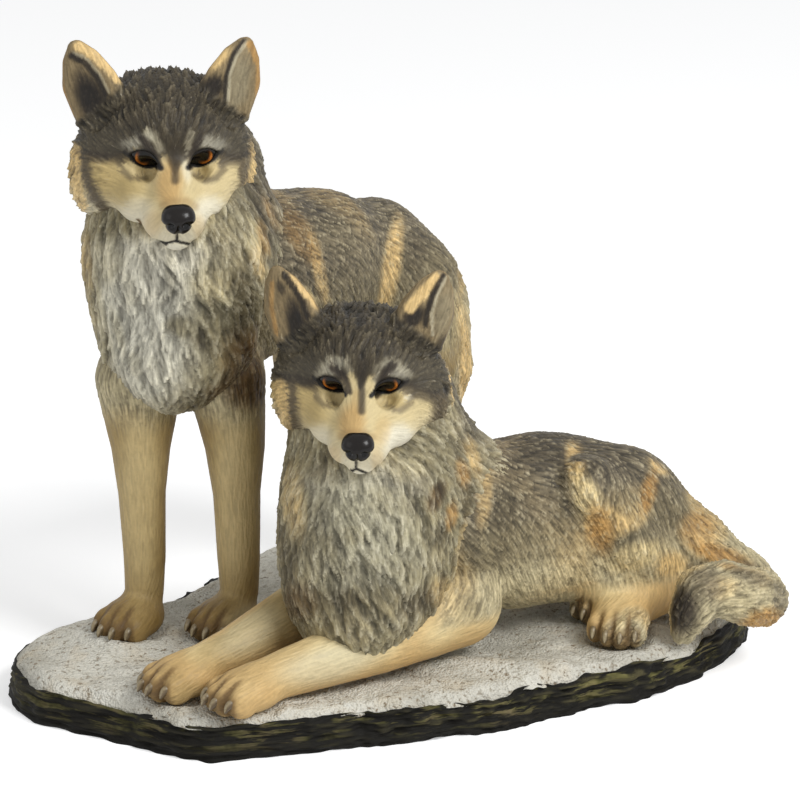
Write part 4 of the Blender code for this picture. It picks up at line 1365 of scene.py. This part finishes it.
def make_body(name, form, marks, heights, shares, leg_paints, step, paints, relief, material):
    """A trunk in sleek locks, darker over the back, with smooth legs and toes and a bushy tail. Heights
    are the back's and the belly's; shares say where the legs and the tail are."""
    seat, paws = PAWS[name]
    seed = BODY_SEED
    back_height, belly_height = heights
    leg_share, tail_share = shares
    points, faces, normal = skin(form, step)
    q = seat.own(points)
    tail = tail_share(q)
    legs = leg_share(q) * (1 - tail)
    swirl = cloud(points, 16.0, seed) * 0.22 * (1 - legs) + cloud(points, 10.0, seed + 4) * 0.4 * tail
    flow = form.flow(points)
    droop = ease(back_height, belly_height, q[:, 2]) * (1 - legs) * (1 - tail)
    flow[:, 2] -= 1.1 * droop
    along, across = combed(normal, flow, swirl)
    coat = locks(points, normal, along, across, 6.8, 1.35, 0.26, seed + 1)
    lumps = cloud(points, 13.0, seed + 2)
    hairy = 1 - 0.86 * legs
    lift = (0.55 * (coat["height"] - 0.4) + 0.45 * lumps) * hairy + 0.6 * tail * (coat["height"] - 0.4)
    spots = laid_out(points)
    show = toward_sheet(normal)
    colour = washed(paints.saddle, paints.saddle_dark, ease(back_height - 8, back_height, q[:, 2]) * 0.8)
    middle = (back_height + belly_height) / 2
    colour = washed(colour, paints.grey_mid, ease(middle + 10, middle - 4, q[:, 2]) * 0.8)
    colour = washed(colour, paints.belly, ease(belly_height + 14, belly_height, q[:, 2]) * 0.8)
    colour = washed(colour, paints.ochre, tail * ease(0.0, 0.5, cloud(points, 12.0, seed + 6)) * 0.5)
    colour = washed(colour, paints.ochre, ease(0.2, 0.7, cloud(points, 20.0, seed + 5)) * 0.4 * (1 - legs))
    colour = marked(colour, spots, marks, show * (1 - 0.9 * legs), paints)
    tan = ease(-0.3, 0.6, cloud(points, 14.0, seed + 3) + 0.25)
    leg_paint, paw_paint = (getattr(paints, one) for one in leg_paints)
    leg = washed(leg_paint, paw_paint, tan * 0.6)
    leg = washed(leg, paw_paint, ease(16, 6, q[:, 2]) * 0.7)
    leg = marked(leg, spots, LEG_MARKS, show, paints)
    colour = washed(colour, leg, legs)
    tips = 0.75 * ease(belly_height, back_height, q[:, 2]) + 0.25
    shaded = hair_shade(colour, coat, paints.pale_tip, 0.75, 0.42)
    colour = washed(colour, shaded, hairy * (0.5 + 0.5 * tips))
    points = points + normal * (lift * relief)[:, None]
    colour = toe_lines(colour, points, seat, paws, paints)
    add_piece(name + "_body", material, points, faces, None, colour, along, 1 - 0.62 * legs)


def toe_lines(colour, points, seat, paws, paints):
    """Brown painted into the clefts between the toes and round the claws."""
    q = seat.own(points)
    for place, heading in paws:
        own = (q - (*place[:2], 0)) @ turned(heading)
        ahead = ease(2.0, 6.0, own[:, 0]) * ease(15, 13, own[:, 0]) * ease(12.5, 9, q[:, 2])
        for gap in (-4.4, 0.0, 4.4):
            line = 1 - ease(0.25, 1.3, np.abs(own[:, 1] - gap * (0.8 + 0.02 * own[:, 0])))
            colour = washed(colour, paints.umber, line * ahead * 0.75)
        for p, w in TOES:
            nail = np.linalg.norm(own[:, :2] - (p + 4.8, w), axis=1)
            colour = washed(colour, paints.umber, (1 - ease(1.4, 2.6, nail)) * ease(9, 6, q[:, 2]) * 0.55)
    return colour


def standing_leg_share(q):
    """1 on the legs below the trunk, and 0 on the tail."""
    return ease(80, 66, q[:, 2]) * (1 - standing_tail_share(q))


def standing_tail_share(q):
    """1 on the tail, behind the rump and clear of the hind feet."""
    return ease(-109, -114, q[:, 0]) * ease(22, 40, q[:, 2] + 0.6 * (-108 - q[:, 0]))


def lying_leg_share(q):
    """1 on the forelegs ahead of the chest, and on the near hind foot."""
    fore = ease(4, 12, q[:, 0]) * ease(34, 24, q[:, 2])
    foot = ease(19, 22, q[:, 1]) * ease(19, 14, q[:, 2]) * ease(-90, -82, q[:, 0])
    far = ease(-80, -76, q[:, 0]) * ease(15, 12, q[:, 2]) * ease(-58, -60, q[:, 0]) * ease(10, 14, q[:, 1])
    return np.maximum(fore, np.maximum(foot, far * 0.8))


def lying_tail_share(q):
    """1 on the tail that lies round the hind feet."""
    return np.maximum(ease(35, 39, q[:, 1]), ease(-86, -92, q[:, 0]))


# The snow, in drawing millimetres: how far its trodden top lies under the paws, how far its lip starts
# inside the rock's edge and bulges out again, the dent and the bank of a paw, and how high it ends on
# the rock
SNOW_SETTLED = 0.6
SNOW_INSET = 5.5
LIP_BULGE = 4.6
PAW_DENT = 1.6
PAW_BANK = 1.0
EDGE_HEIGHT = 9.7

# The rock in its cracks, and the lighter paint of its ledges, laid on more towards the lamp as painted light
ROCK_SHADE = np.array((0.03, 0.03, 0.025))
ROCK_LIGHT = np.array((0.46, 0.43, 0.29))


def plan_reach(angle):
    """How far the rock's edge lies from its middle at each angle, along the straight sides of its
    plan: the mean over a few nearby angles, which rounds the plan's corners."""
    corners = np.array(PLAN + PLAN[:1], float) - PLAN_MIDDLE
    t = np.linspace(0, 1, 24, endpoint=False)[:, None]
    line = np.concatenate([a + t * (b - a) for a, b in zip(corners, corners[1:])])
    at = np.arctan2(line[:, 1], line[:, 0])
    order = np.argsort(at)
    far = np.hypot(line[:, 0], line[:, 1])[order]
    return sum(np.interp(angle + turn, at[order], far, period=2 * np.pi) for turn in ROUNDING) / len(ROUNDING)


def around(angle, size, seed):
    """Soft noise round the rock that meets itself."""
    ring = np.stack([np.cos(angle) * 100, np.sin(angle) * 100, 0 * angle], 1)
    return cloud(ring, size, seed)


def snow_top(x, y, paws):
    """Trodden snow, round drifts over it, soft lumps, and a dent with a low bank round each paw."""
    flat = np.column_stack([x, y, np.zeros(len(x))])
    height = np.full(len(x), GROUND - SNOW_SETTLED)
    for (cx, cy), (rx, ry), rise in DRIFTS:
        height = height + rise * np.clip(1 - ((x - cx) / rx) ** 2 - ((y - cy) / ry) ** 2, 0, 1) ** 1.2
    lumps = 0.8 * cloud(flat, 13.0, 61) + 0.5 * cloud(flat, 5.5, 62) + 0.26 * cloud(flat, 2.6, 63)
    height = height + lumps
    for px, py in paws:
        r = np.hypot(x - px, y - py)
        height = height - PAW_DENT * (1 - ease(6, 12, r))
        height = height + PAW_BANK * ease(9, 12.5, r) * (1 - ease(12.5, 18, r))
    return height


def make_snow(angle, edge, paws, material):
    """Rings round the rock's middle: out over the snow's top to its lip, over the lip's round edge,
    down to the ragged line where the snow ends on the rock, and back under itself."""
    reach = plan_reach(angle) + 0.9 * around(angle, 9.0, 51) + 0.5 * around(angle, 3.5, 52)
    out = np.linspace(0.03, 1, 58) ** 0.82
    rings = []
    way = np.stack([np.cos(angle), np.sin(angle)], 1)
    for s in out:
        xy = PLAN_MIDDLE + way * ((reach - SNOW_INSET) * s)[:, None]
        rings.append(np.column_stack([xy, snow_top(xy[:, 0], xy[:, 1], paws)]))
    rim = rings[-1][:, 2]
    for t in np.linspace(0.12, 1, 12):
        drop = np.sin(t * np.pi / 2)
        bulge = LIP_BULGE * np.sin(min(1, t * 1.25) * np.pi / 2)
        wave = 0.35 * around(angle, 2.6, 53 + int(t * 4))
        xy = PLAN_MIDDLE + way * (reach - SNOW_INSET + bulge + wave)[:, None]
        rings.append(np.column_stack([xy, rim + (edge - rim) * (1 - np.cos(drop * np.pi / 2))]))
    for inward in (1.6, 6.0):
        xy = PLAN_MIDDLE + way * (reach - 1.0 - inward)[:, None]
        rings.append(np.column_stack([xy, edge - 0.4]))
    rings = np.array(rings)
    first = np.array((*PLAN_MIDDLE, rings[0][:, 2].mean()))
    last = np.array((*PLAN_MIDDLE, 6.0))
    points, faces, tips = closed_tube(rings, first, last)
    add_piece("snow", material, points, faces, tips)


def make_rock(angle, edge, material):
    """Rings down the rock's side, from under the snow to its foot: the plan's reach, less a slope in at
    the foot, with level ledges that step by soft noise, then its flat underside to the middle."""
    reach = plan_reach(angle)
    way = np.stack([np.cos(angle), np.sin(angle)], 1)
    rings = []
    shade = []
    brush = []
    xy = PLAN_MIDDLE + way * (reach - 12)[:, None]
    rings.append(np.column_stack([xy, edge - 1.5]))
    shade.append(np.zeros(len(angle)))
    brush.append(np.zeros(len(angle)))
    for z in np.linspace(1, 0, 30):
        height = z * (edge + 1.2)
        side = np.stack([way[:, 0] * 100 / 7, way[:, 1] * 100 / 7, height / 1.15], 1)
        ledge = cloud(side, 1.0, 71) + 0.6 * cloud(side * (2.3, 2.3, 1.9), 1.0, 72)
        broken = 1.2 * around(angle, 12.0, 73) + 0.7 * around(angle, 4.0, 74) + 0.4
        foot = -1.2 * ease(7.0, 2.0, height)
        xy = PLAN_MIDDLE + way * (reach - 0.4 - foot + 1.15 * ledge + broken)[:, None]
        rings.append(np.column_stack([xy, np.maximum(height, 0)]))
        # Painted light: towards the right, where the key lamp stands, the ledges are painted lighter and more
        # moss shows; both thin out towards the foot
        sunny = ease(-20, 90, xy[:, 0])
        shade.append(ease(0.0, 0.8, ledge) * ease(0.5, 5.0, height) * (0.5 + 0.5 * sunny))
        brush.append(ease(0.5, 7.0, height) * (0.45 + 0.5 * sunny))
    rings.append(np.column_stack([PLAN_MIDDLE + way * (reach - 14)[:, None], np.zeros(len(angle))]))
    shade.append(np.zeros(len(angle)))
    brush.append(np.zeros(len(angle)))
    rings = np.array(rings)
    first = np.array((*PLAN_MIDDLE, rings[0][:, 2].mean()))
    points, faces, tips = closed_tube(rings, first, np.array((*PLAN_MIDDLE, 0.0)))
    share = np.concatenate([np.array(shade).ravel(), [0, 0]])[:, None]
    colour = ROCK_SHADE * (1 - share) + ROCK_LIGHT * share
    brush = np.concatenate([np.array(brush).ravel(), [0, 0]])
    add_piece("rock", material, points, faces, tips, colour, streaks=brush)


def colour_choice(name, description, red, green, blue):
    """A colour that a user may change, as it is written, from 0 to 255."""
    return bpy.props.FloatVectorProperty(
        name=name, description=description, subtype="COLOR_GAMMA", size=3, min=0.0, max=1.0,
        default=(red / 255, green / 255, blue / 255))


class WolfPaints(bpy.types.PropertyGroup):
    """The paints of the coats, faces and claws"""
    crown: colour_choice("Crown", "Top and back of the heads", 62, 55, 42)
    brow: colour_choice("Brow", "Dark forehead and its stripe", 46, 40, 32)
    temple: colour_choice("Temple", "Grey beside the forehead", 76, 70, 57)
    grey_lid: colour_choice("Lid grey", "Pale grey over the eyes", 176, 172, 156)
    brow_white: colour_choice("Brow white", "Short light bars over the inner corners", 208, 201, 176)
    dark_line: colour_choice("Dark line", "Lines from the eyes and inside the ears", 44, 37, 30)
    crescent: colour_choice("Crescent", "Dark curve on each cheek", 88, 78, 61)
    cream: colour_choice("Cream", "Cheeks", 208, 190, 144)
    cream_pale: colour_choice("Pale cream", "Front of the lying wolf's legs", 214, 208, 178)
    # Deep cream: warm parts of the cheeks, and painted shade on the half of each face away from the key lamp
    cream_deep_and_shade: colour_choice("Deep cream", "Warm parts of the cheeks", 184, 162, 110)
    white: colour_choice("White", "Muzzle sides, chin and throat", 236, 231, 212)
    tan: colour_choice("Tan", "Bridge of the nose", 194, 158, 102)
    tan_dark: colour_choice("Dark tan", "Round the nose and in the ears", 140, 110, 70)
    black: colour_choice("Black", "Eye rims and mouth", 14, 12, 10)
    nose: colour_choice("Nose", "The noses", 22, 17, 14)
    iris: colour_choice("Iris", "Lit part of the iris", 196, 116, 42)
    iris_dark: colour_choice("Dark iris", "Shaded part of the iris", 62, 32, 14)
    ear_in: colour_choice("Ear inside", "Hollow of the ears", 134, 117, 86)
    ear_deep: colour_choice("Ear shadow", "Dark folds of the ears", 26, 21, 16)
    ear_grey: colour_choice("Ear grey", "Pale hair in the ears", 152, 142, 116)
    ear_back: colour_choice("Ear back", "Back of the ears", 150, 122, 78)
    ochre: colour_choice("Ochre", "Warm patches", 236, 202, 140)
    ochre_light: colour_choice("Light ochre", "Thighs and toes", 240, 218, 164)
    ochre_deep: colour_choice("Deep ochre", "Rusty tufts", 186, 140, 78)
    straw: colour_choice("Straw", "Pale warm tufts", 214, 200, 158)
    straw_dull: colour_choice("Dull straw", "Dull warm tufts", 170, 157, 122)
    bib: colour_choice("Bib", "Grey white of the chests", 240, 237, 220)
    bib_dusk: colour_choice("Shaded bib", "Grey white of the lying wolf's chest", 184, 179, 154)
    olive: colour_choice("Olive grey", "Shaded locks of the chests", 140, 131, 102)
    olive_dark: colour_choice("Dark olive grey", "Dark patches", 86, 77, 56)
    # Umber: brown patches and clefts, and painted shadow on the standing wolf's shoulder to the right of its
    # chest
    umber: colour_choice("Umber", "Brown patches and clefts", 84, 62, 34)
    saddle: colour_choice("Saddle", "Backs", 112, 103, 84)
    saddle_dark: colour_choice("Dark saddle", "Ridge of the backs", 82, 74, 59)
    grey_mid: colour_choice("Flank", "Flanks", 128, 118, 92)
    belly: colour_choice("Belly", "Low on the flanks", 218, 206, 168)
    leg: colour_choice("Leg", "Legs", 226, 206, 156)
    leg_tan: colour_choice("Leg tan", "Paws, knees and hocks", 196, 160, 104)
    leg_dusk: colour_choice("Shaded leg", "Legs of the standing wolf", 160, 137, 90)
    paw_dusk: colour_choice("Shaded paw", "Paws of the standing wolf", 134, 108, 60)
    tail_dark: colour_choice("Tail tip", "Tip of the tail", 50, 43, 35)
    pale_tip: colour_choice("Pale tip", "Brushed tips on dark hair", 190, 180, 152)
    lit_tip: colour_choice("Lit tip", "Brushed tips on the chests", 234, 229, 208)
    claw: colour_choice("Claw", "Claws", 92, 76, 52)
    claw_pale: colour_choice("Pale claw", "Ridges of the claws", 170, 156, 124)
    snow: colour_choice("Snow", "Snow on the rock", 218, 215, 203)
    snow_hollow: colour_choice("Snow hollow", "Greyer snow", 160, 155, 140)
    snow_speck: colour_choice("Snow speck", "Specks between the grains", 120, 100, 72)
    rock: colour_choice("Rock", "The rock", 24, 22, 17)
    rock_moss: colour_choice("Rock moss", "Olive brushed over the ledges", 118, 114, 66)


class WolfSizes(bpy.types.PropertyGroup):
    """How fine the skins are, and how high the coat stands"""
    head_grain: bpy.props.FloatProperty(
        name="Head grain", description="Width of a face of the heads' skin", subtype="DISTANCE",
        unit="LENGTH", default=0.00048, min=0.0003)
    ruff_grain: bpy.props.FloatProperty(
        name="Ruff grain", description="Width of a face of the chests' skin", subtype="DISTANCE",
        unit="LENGTH", default=0.00068, min=0.0003)
    body_grain: bpy.props.FloatProperty(
        name="Body grain", description="Width of a face of the bodies' skin", subtype="DISTANCE",
        unit="LENGTH", default=0.00096, min=0.0003)
    relief: bpy.props.FloatProperty(
        name="Relief", description="Height of the coat against the usual one", subtype="FACTOR",
        default=1.0, min=0.0, max=2.0)
    around: bpy.props.IntProperty(
        name="Steps round the rock", description="Faces round the snow and the rock", default=720, min=60)
    reach: bpy.props.FloatProperty(
        name="Camera distance", description="From the camera to the middle of the view",
        subtype="DISTANCE", unit="LENGTH", default=1.0)
    tilt: bpy.props.FloatProperty(
        name="Camera height", description="How far above level the camera looks from",
        subtype="ANGLE", unit="ROTATION", default=SHEET_TILT)


def paint_box(context):
    """Every paint by its name, as plain numbers."""
    group = context.scene.wolf_paints
    return SimpleNamespace(**{name: np.array(getattr(group, name), float) for name in group.__annotations__})


# Each coat: its paint's share in a groove and on a crest, and how many pale strands lie over it. Then
# the seed of both bodies
FACE_COAT = ((0.55, 0.53, 0.49), (1.26, 1.25, 1.22), 0.42)
CHEST_COAT = ((0.76, 0.745, 0.71), (1.13, 1.12, 1.10), 0.12)
SLEEK_COAT = ((0.52, 0.50, 0.46), (1.26, 1.24, 1.20), 0.5)
BODY_SEED = 50

# Each lamp: its place, its width and its power. The floor: its half width, its grey and its glow. The
# world's light, and the camera's sensor against the width of the picture
LAMPS = {"key": ((0.82, -0.78, 1.1), 0.6, 16.0), "fill": ((-0.95, -0.75, 0.7), 0.8, 1.6)}
FLOOR_REACH = 4.0
FLOOR_GREY = 0.86
FLOOR_GLOW = 0.42
WORLD_LIGHT = 0.5
SENSOR = 36
PICTURE_WIDTH = 800


class WOLVES_OT_heads(bpy.types.Operator):
    """Makes both heads, with ears, lids and painted faces"""
    bl_idname = "wolves.heads"
    bl_label = "Heads"

    def execute(self, context):
        paints = paint_box(context)
        sizes = context.scene.wolf_sizes
        coat = painted_fur("face coat", *FACE_COAT)
        for wolf in HEADS:
            make_head(wolf, sizes.head_grain / MM, paints, sizes.relief, coat)
        return {"FINISHED"}


class WOLVES_OT_ruffs(bpy.types.Operator):
    """Makes both chests with their necks and manes"""
    bl_idname = "wolves.ruffs"
    bl_label = "Chests and manes"

    def execute(self, context):
        paints = paint_box(context)
        sizes = context.scene.wolf_sizes
        coat = painted_fur("chest coat", *CHEST_COAT)
        jobs = (
            ("standing_ruff", ruff_form(STANDING, STANDING_CHEST, STANDING_NECK, STANDING_MANE), STANDING,
             STANDING_RUFF_MARKS, 132, 30),
            ("lying_ruff", ruff_form(LYING, LYING_CHEST, LYING_NECK, LYING_MANE), LYING,
             LYING_RUFF_MARKS, 72, 40),
        )
        for job in jobs:
            make_ruff(*job, sizes.ruff_grain / MM, paints, sizes.relief, coat)
        return {"FINISHED"}


class WOLVES_OT_bodies(bpy.types.Operator):
    """Makes both bodies, with legs, paws and tails"""
    bl_idname = "wolves.bodies"
    bl_label = "Bodies"

    def execute(self, context):
        paints = paint_box(context)
        sizes = context.scene.wolf_sizes
        coat = painted_fur("sleek coat", *SLEEK_COAT)
        jobs = (
            ("standing", body_form(STANDING, STANDING_TRUNK, [STANDING_TAIL], STANDING_LEGS, STANDING_PAWS),
             STANDING_BODY_MARKS, (130, 84), (standing_leg_share, standing_tail_share),
             ("leg_dusk", "paw_dusk")),
            ("lying", body_form(LYING, LYING_TRUNK, [LYING_RUMP, LYING_TAIL], LYING_LEGS, LYING_PAWS),
             LYING_BODY_MARKS, (62, 22), (lying_leg_share, lying_tail_share), ("leg", "leg_tan")),
        )
        for job in jobs:
            make_body(*job, sizes.body_grain / MM, paints, sizes.relief, coat)
        return {"FINISHED"}


class WOLVES_OT_eyes(bpy.types.Operator):
    """Makes both pairs of eyes"""
    bl_idname = "wolves.eyes"
    bl_label = "Eyes"

    def execute(self, context):
        paints = paint_box(context)
        for wolf in HEADS:
            make_eyes(wolf, paints, wet_gloss())
        return {"FINISHED"}


class WOLVES_OT_noses(bpy.types.Operator):
    """Makes both noses"""
    bl_idname = "wolves.noses"
    bl_label = "Noses"

    def execute(self, context):
        paints = paint_box(context)
        for wolf in HEADS:
            make_nose(wolf, paints, wet_gloss())
        return {"FINISHED"}


class WOLVES_OT_claws(bpy.types.Operator):
    """Makes the claws of both wolves"""
    bl_idname = "wolves.claws"
    bl_label = "Claws"

    def execute(self, context):
        paints = paint_box(context)
        material = horn()
        for wolf in PAWS:
            make_claws(wolf, paints, material)
        return {"FINISHED"}


class WOLVES_OT_ground(bpy.types.Operator):
    """Makes the snow and the rock under it"""
    bl_idname = "wolves.ground"
    bl_label = "Snow and rock"

    def execute(self, context):
        paints = paint_box(context)
        angle = np.linspace(-np.pi, np.pi, context.scene.wolf_sizes.around, endpoint=False)
        edge = EDGE_HEIGHT + 1.2 * around(angle, 22.0, 81)
        edge = edge + 0.9 * around(angle, 8.0, 82) + 0.5 * around(angle, 3.0, 83)
        paws = [seat.out((*paw[0][:2], 0))[:2] for seat, group in PAWS.values() for paw in group]
        make_snow(angle, edge, paws, packed_snow(paints.snow, paints.snow_speck, paints.snow_hollow))
        make_rock(angle, edge, layered_rock(paints.rock, paints.rock_moss))
        return {"FINISHED"}


class WOLVES_OT_stage(bpy.types.Operator):
    """Makes the floor, the light and the camera"""
    bl_idname = "wolves.stage"
    bl_label = "Stage"

    def execute(self, context):
        scene = context.scene
        floor_mesh = bpy.data.meshes.new("floor")
        corners = [(x * FLOOR_REACH, y * FLOOR_REACH, 0) for x, y in ((-1, -1), (1, -1), (1, 1), (-1, 1))]
        floor_mesh.from_pydata(corners, [], [(0, 1, 2, 3)])
        floor = bpy.data.objects.new("floor", floor_mesh)
        scene.collection.objects.link(floor)
        floor_mesh.materials.append(self.floor_material())
        self.light_world(scene)
        for name, lamp in LAMPS.items():
            self.add_lamp(scene, name, *lamp)
        tilt = scene.wolf_sizes.tilt
        aim = (SHEET_AIM + SHIFT) * MM
        back = scene.wolf_sizes.reach
        camera = bpy.data.objects.new("camera", bpy.data.cameras.new("camera"))
        camera.location = aim + back * np.array((0, -np.cos(tilt), np.sin(tilt)))
        camera.rotation_euler = (np.pi / 2 - tilt, 0, 0)
        camera.data.lens = SENSOR * SHEET_SCALE * SHEET_REACH / PICTURE_WIDTH
        camera.data.sensor_width = SENSOR
        scene.collection.objects.link(camera)
        scene.camera = camera
        scene.view_settings.view_transform = "Standard"
        return {"FINISHED"}

    @staticmethod
    def seen_ray(board):
        """1 for rays from the camera, in reflections and through glass."""
        path = board.add("LightPath")
        total = path.wire("Is Camera Ray") + path.wire("Is Glossy Ray") + path.wire("Is Transmission Ray")
        return board.add("Math", {"operation": "MINIMUM"}, {0: total, 1: 1.0}).wire()

    def floor_material(self):
        """A pale floor that keeps its shadows, lifted to white where it is seen."""
        material = bpy.data.materials.new("pale floor")
        board = Board(material)
        grey = (FLOOR_GREY, FLOOR_GREY, FLOOR_GREY, 1)
        shade = board.add("BsdfDiffuse", None, {"Color": grey}).wire("BSDF")
        glow = FLOOR_GLOW * self.seen_ray(board)
        lift = board.add("Emission", None, {"Color": (1, 1, 1, 1), "Strength": glow})
        both = board.add("AddShader", None, {0: shade, 1: lift.wire("Emission")})
        board.add("OutputMaterial", None, {"Surface": both.wire()})
        return material

    def light_world(self, scene):
        """An even pale world that shows white behind the floor's edge."""
        world = bpy.data.worlds.new("studio")
        scene.world = world
        board = Board(world)
        soft = board.add("Background", None, {"Color": (0.98, 0.99, 1.0, 1), "Strength": WORLD_LIGHT})
        white = board.add("Background", None, {"Color": (1, 1, 1, 1), "Strength": 1.0})
        both = board.add("MixShader", None, {0: self.seen_ray(board), 1: soft.wire(), 2: white.wire()})
        board.add("OutputWorld", None, {"Surface": both.wire()})

    @staticmethod
    def add_lamp(scene, name, place, size, power):
        """A square soft lamp that faces the middle of the object."""
        lamp = bpy.data.lights.new(name, "AREA")
        lamp.size = size
        lamp.energy = power
        holder = bpy.data.objects.new(name, lamp)
        way = unit(np.array(place) - (0, 0, 0.08))
        holder.location = place
        holder.rotation_euler = (np.arccos(way[2]), 0, np.arctan2(way[1], way[0]) + np.pi / 2)
        scene.collection.objects.link(holder)


class WOLVES_PT_panel(bpy.types.Panel):
    """Lists the pieces that can be made"""
    bl_label = "Wolf pair"
    bl_idname = "WOLVES_PT_panel"
    bl_space_type = "VIEW_3D"
    bl_region_type = "UI"
    bl_category = "Wolves"

    def draw(self, context):
        """A button for each maker, then every size and paint."""
        for maker in MAKERS:
            self.layout.operator(maker.bl_idname)
        for group in (context.scene.wolf_sizes, context.scene.wolf_paints):
            for name in group.__annotations__:
                self.layout.prop(group, name)


MAKERS = (WOLVES_OT_heads, WOLVES_OT_ruffs, WOLVES_OT_bodies, WOLVES_OT_eyes, WOLVES_OT_noses,
          WOLVES_OT_claws, WOLVES_OT_ground, WOLVES_OT_stage)
CLASSES = (WolfPaints, WolfSizes, *MAKERS, WOLVES_PT_panel)


def register():
    """Adds the settings, the makers and the panel."""
    for one in CLASSES:
        bpy.utils.register_class(one)
    bpy.types.Scene.wolf_paints = bpy.props.PointerProperty(type=WolfPaints)
    bpy.types.Scene.wolf_sizes = bpy.props.PointerProperty(type=WolfSizes)


def unregister():
    """Takes them away again."""
    del bpy.types.Scene.wolf_sizes
    del bpy.types.Scene.wolf_paints
    for one in reversed(CLASSES):
        bpy.utils.unregister_class(one)


def main():
    """Makes every piece in order."""
    register()
    bpy.ops.wolves.ground()
    bpy.ops.wolves.bodies()
    bpy.ops.wolves.ruffs()
    bpy.ops.wolves.heads()
    bpy.ops.wolves.eyes()
    bpy.ops.wolves.noses()
    bpy.ops.wolves.claws()
    bpy.ops.wolves.stage()


if __name__ == "__main__":
    main()
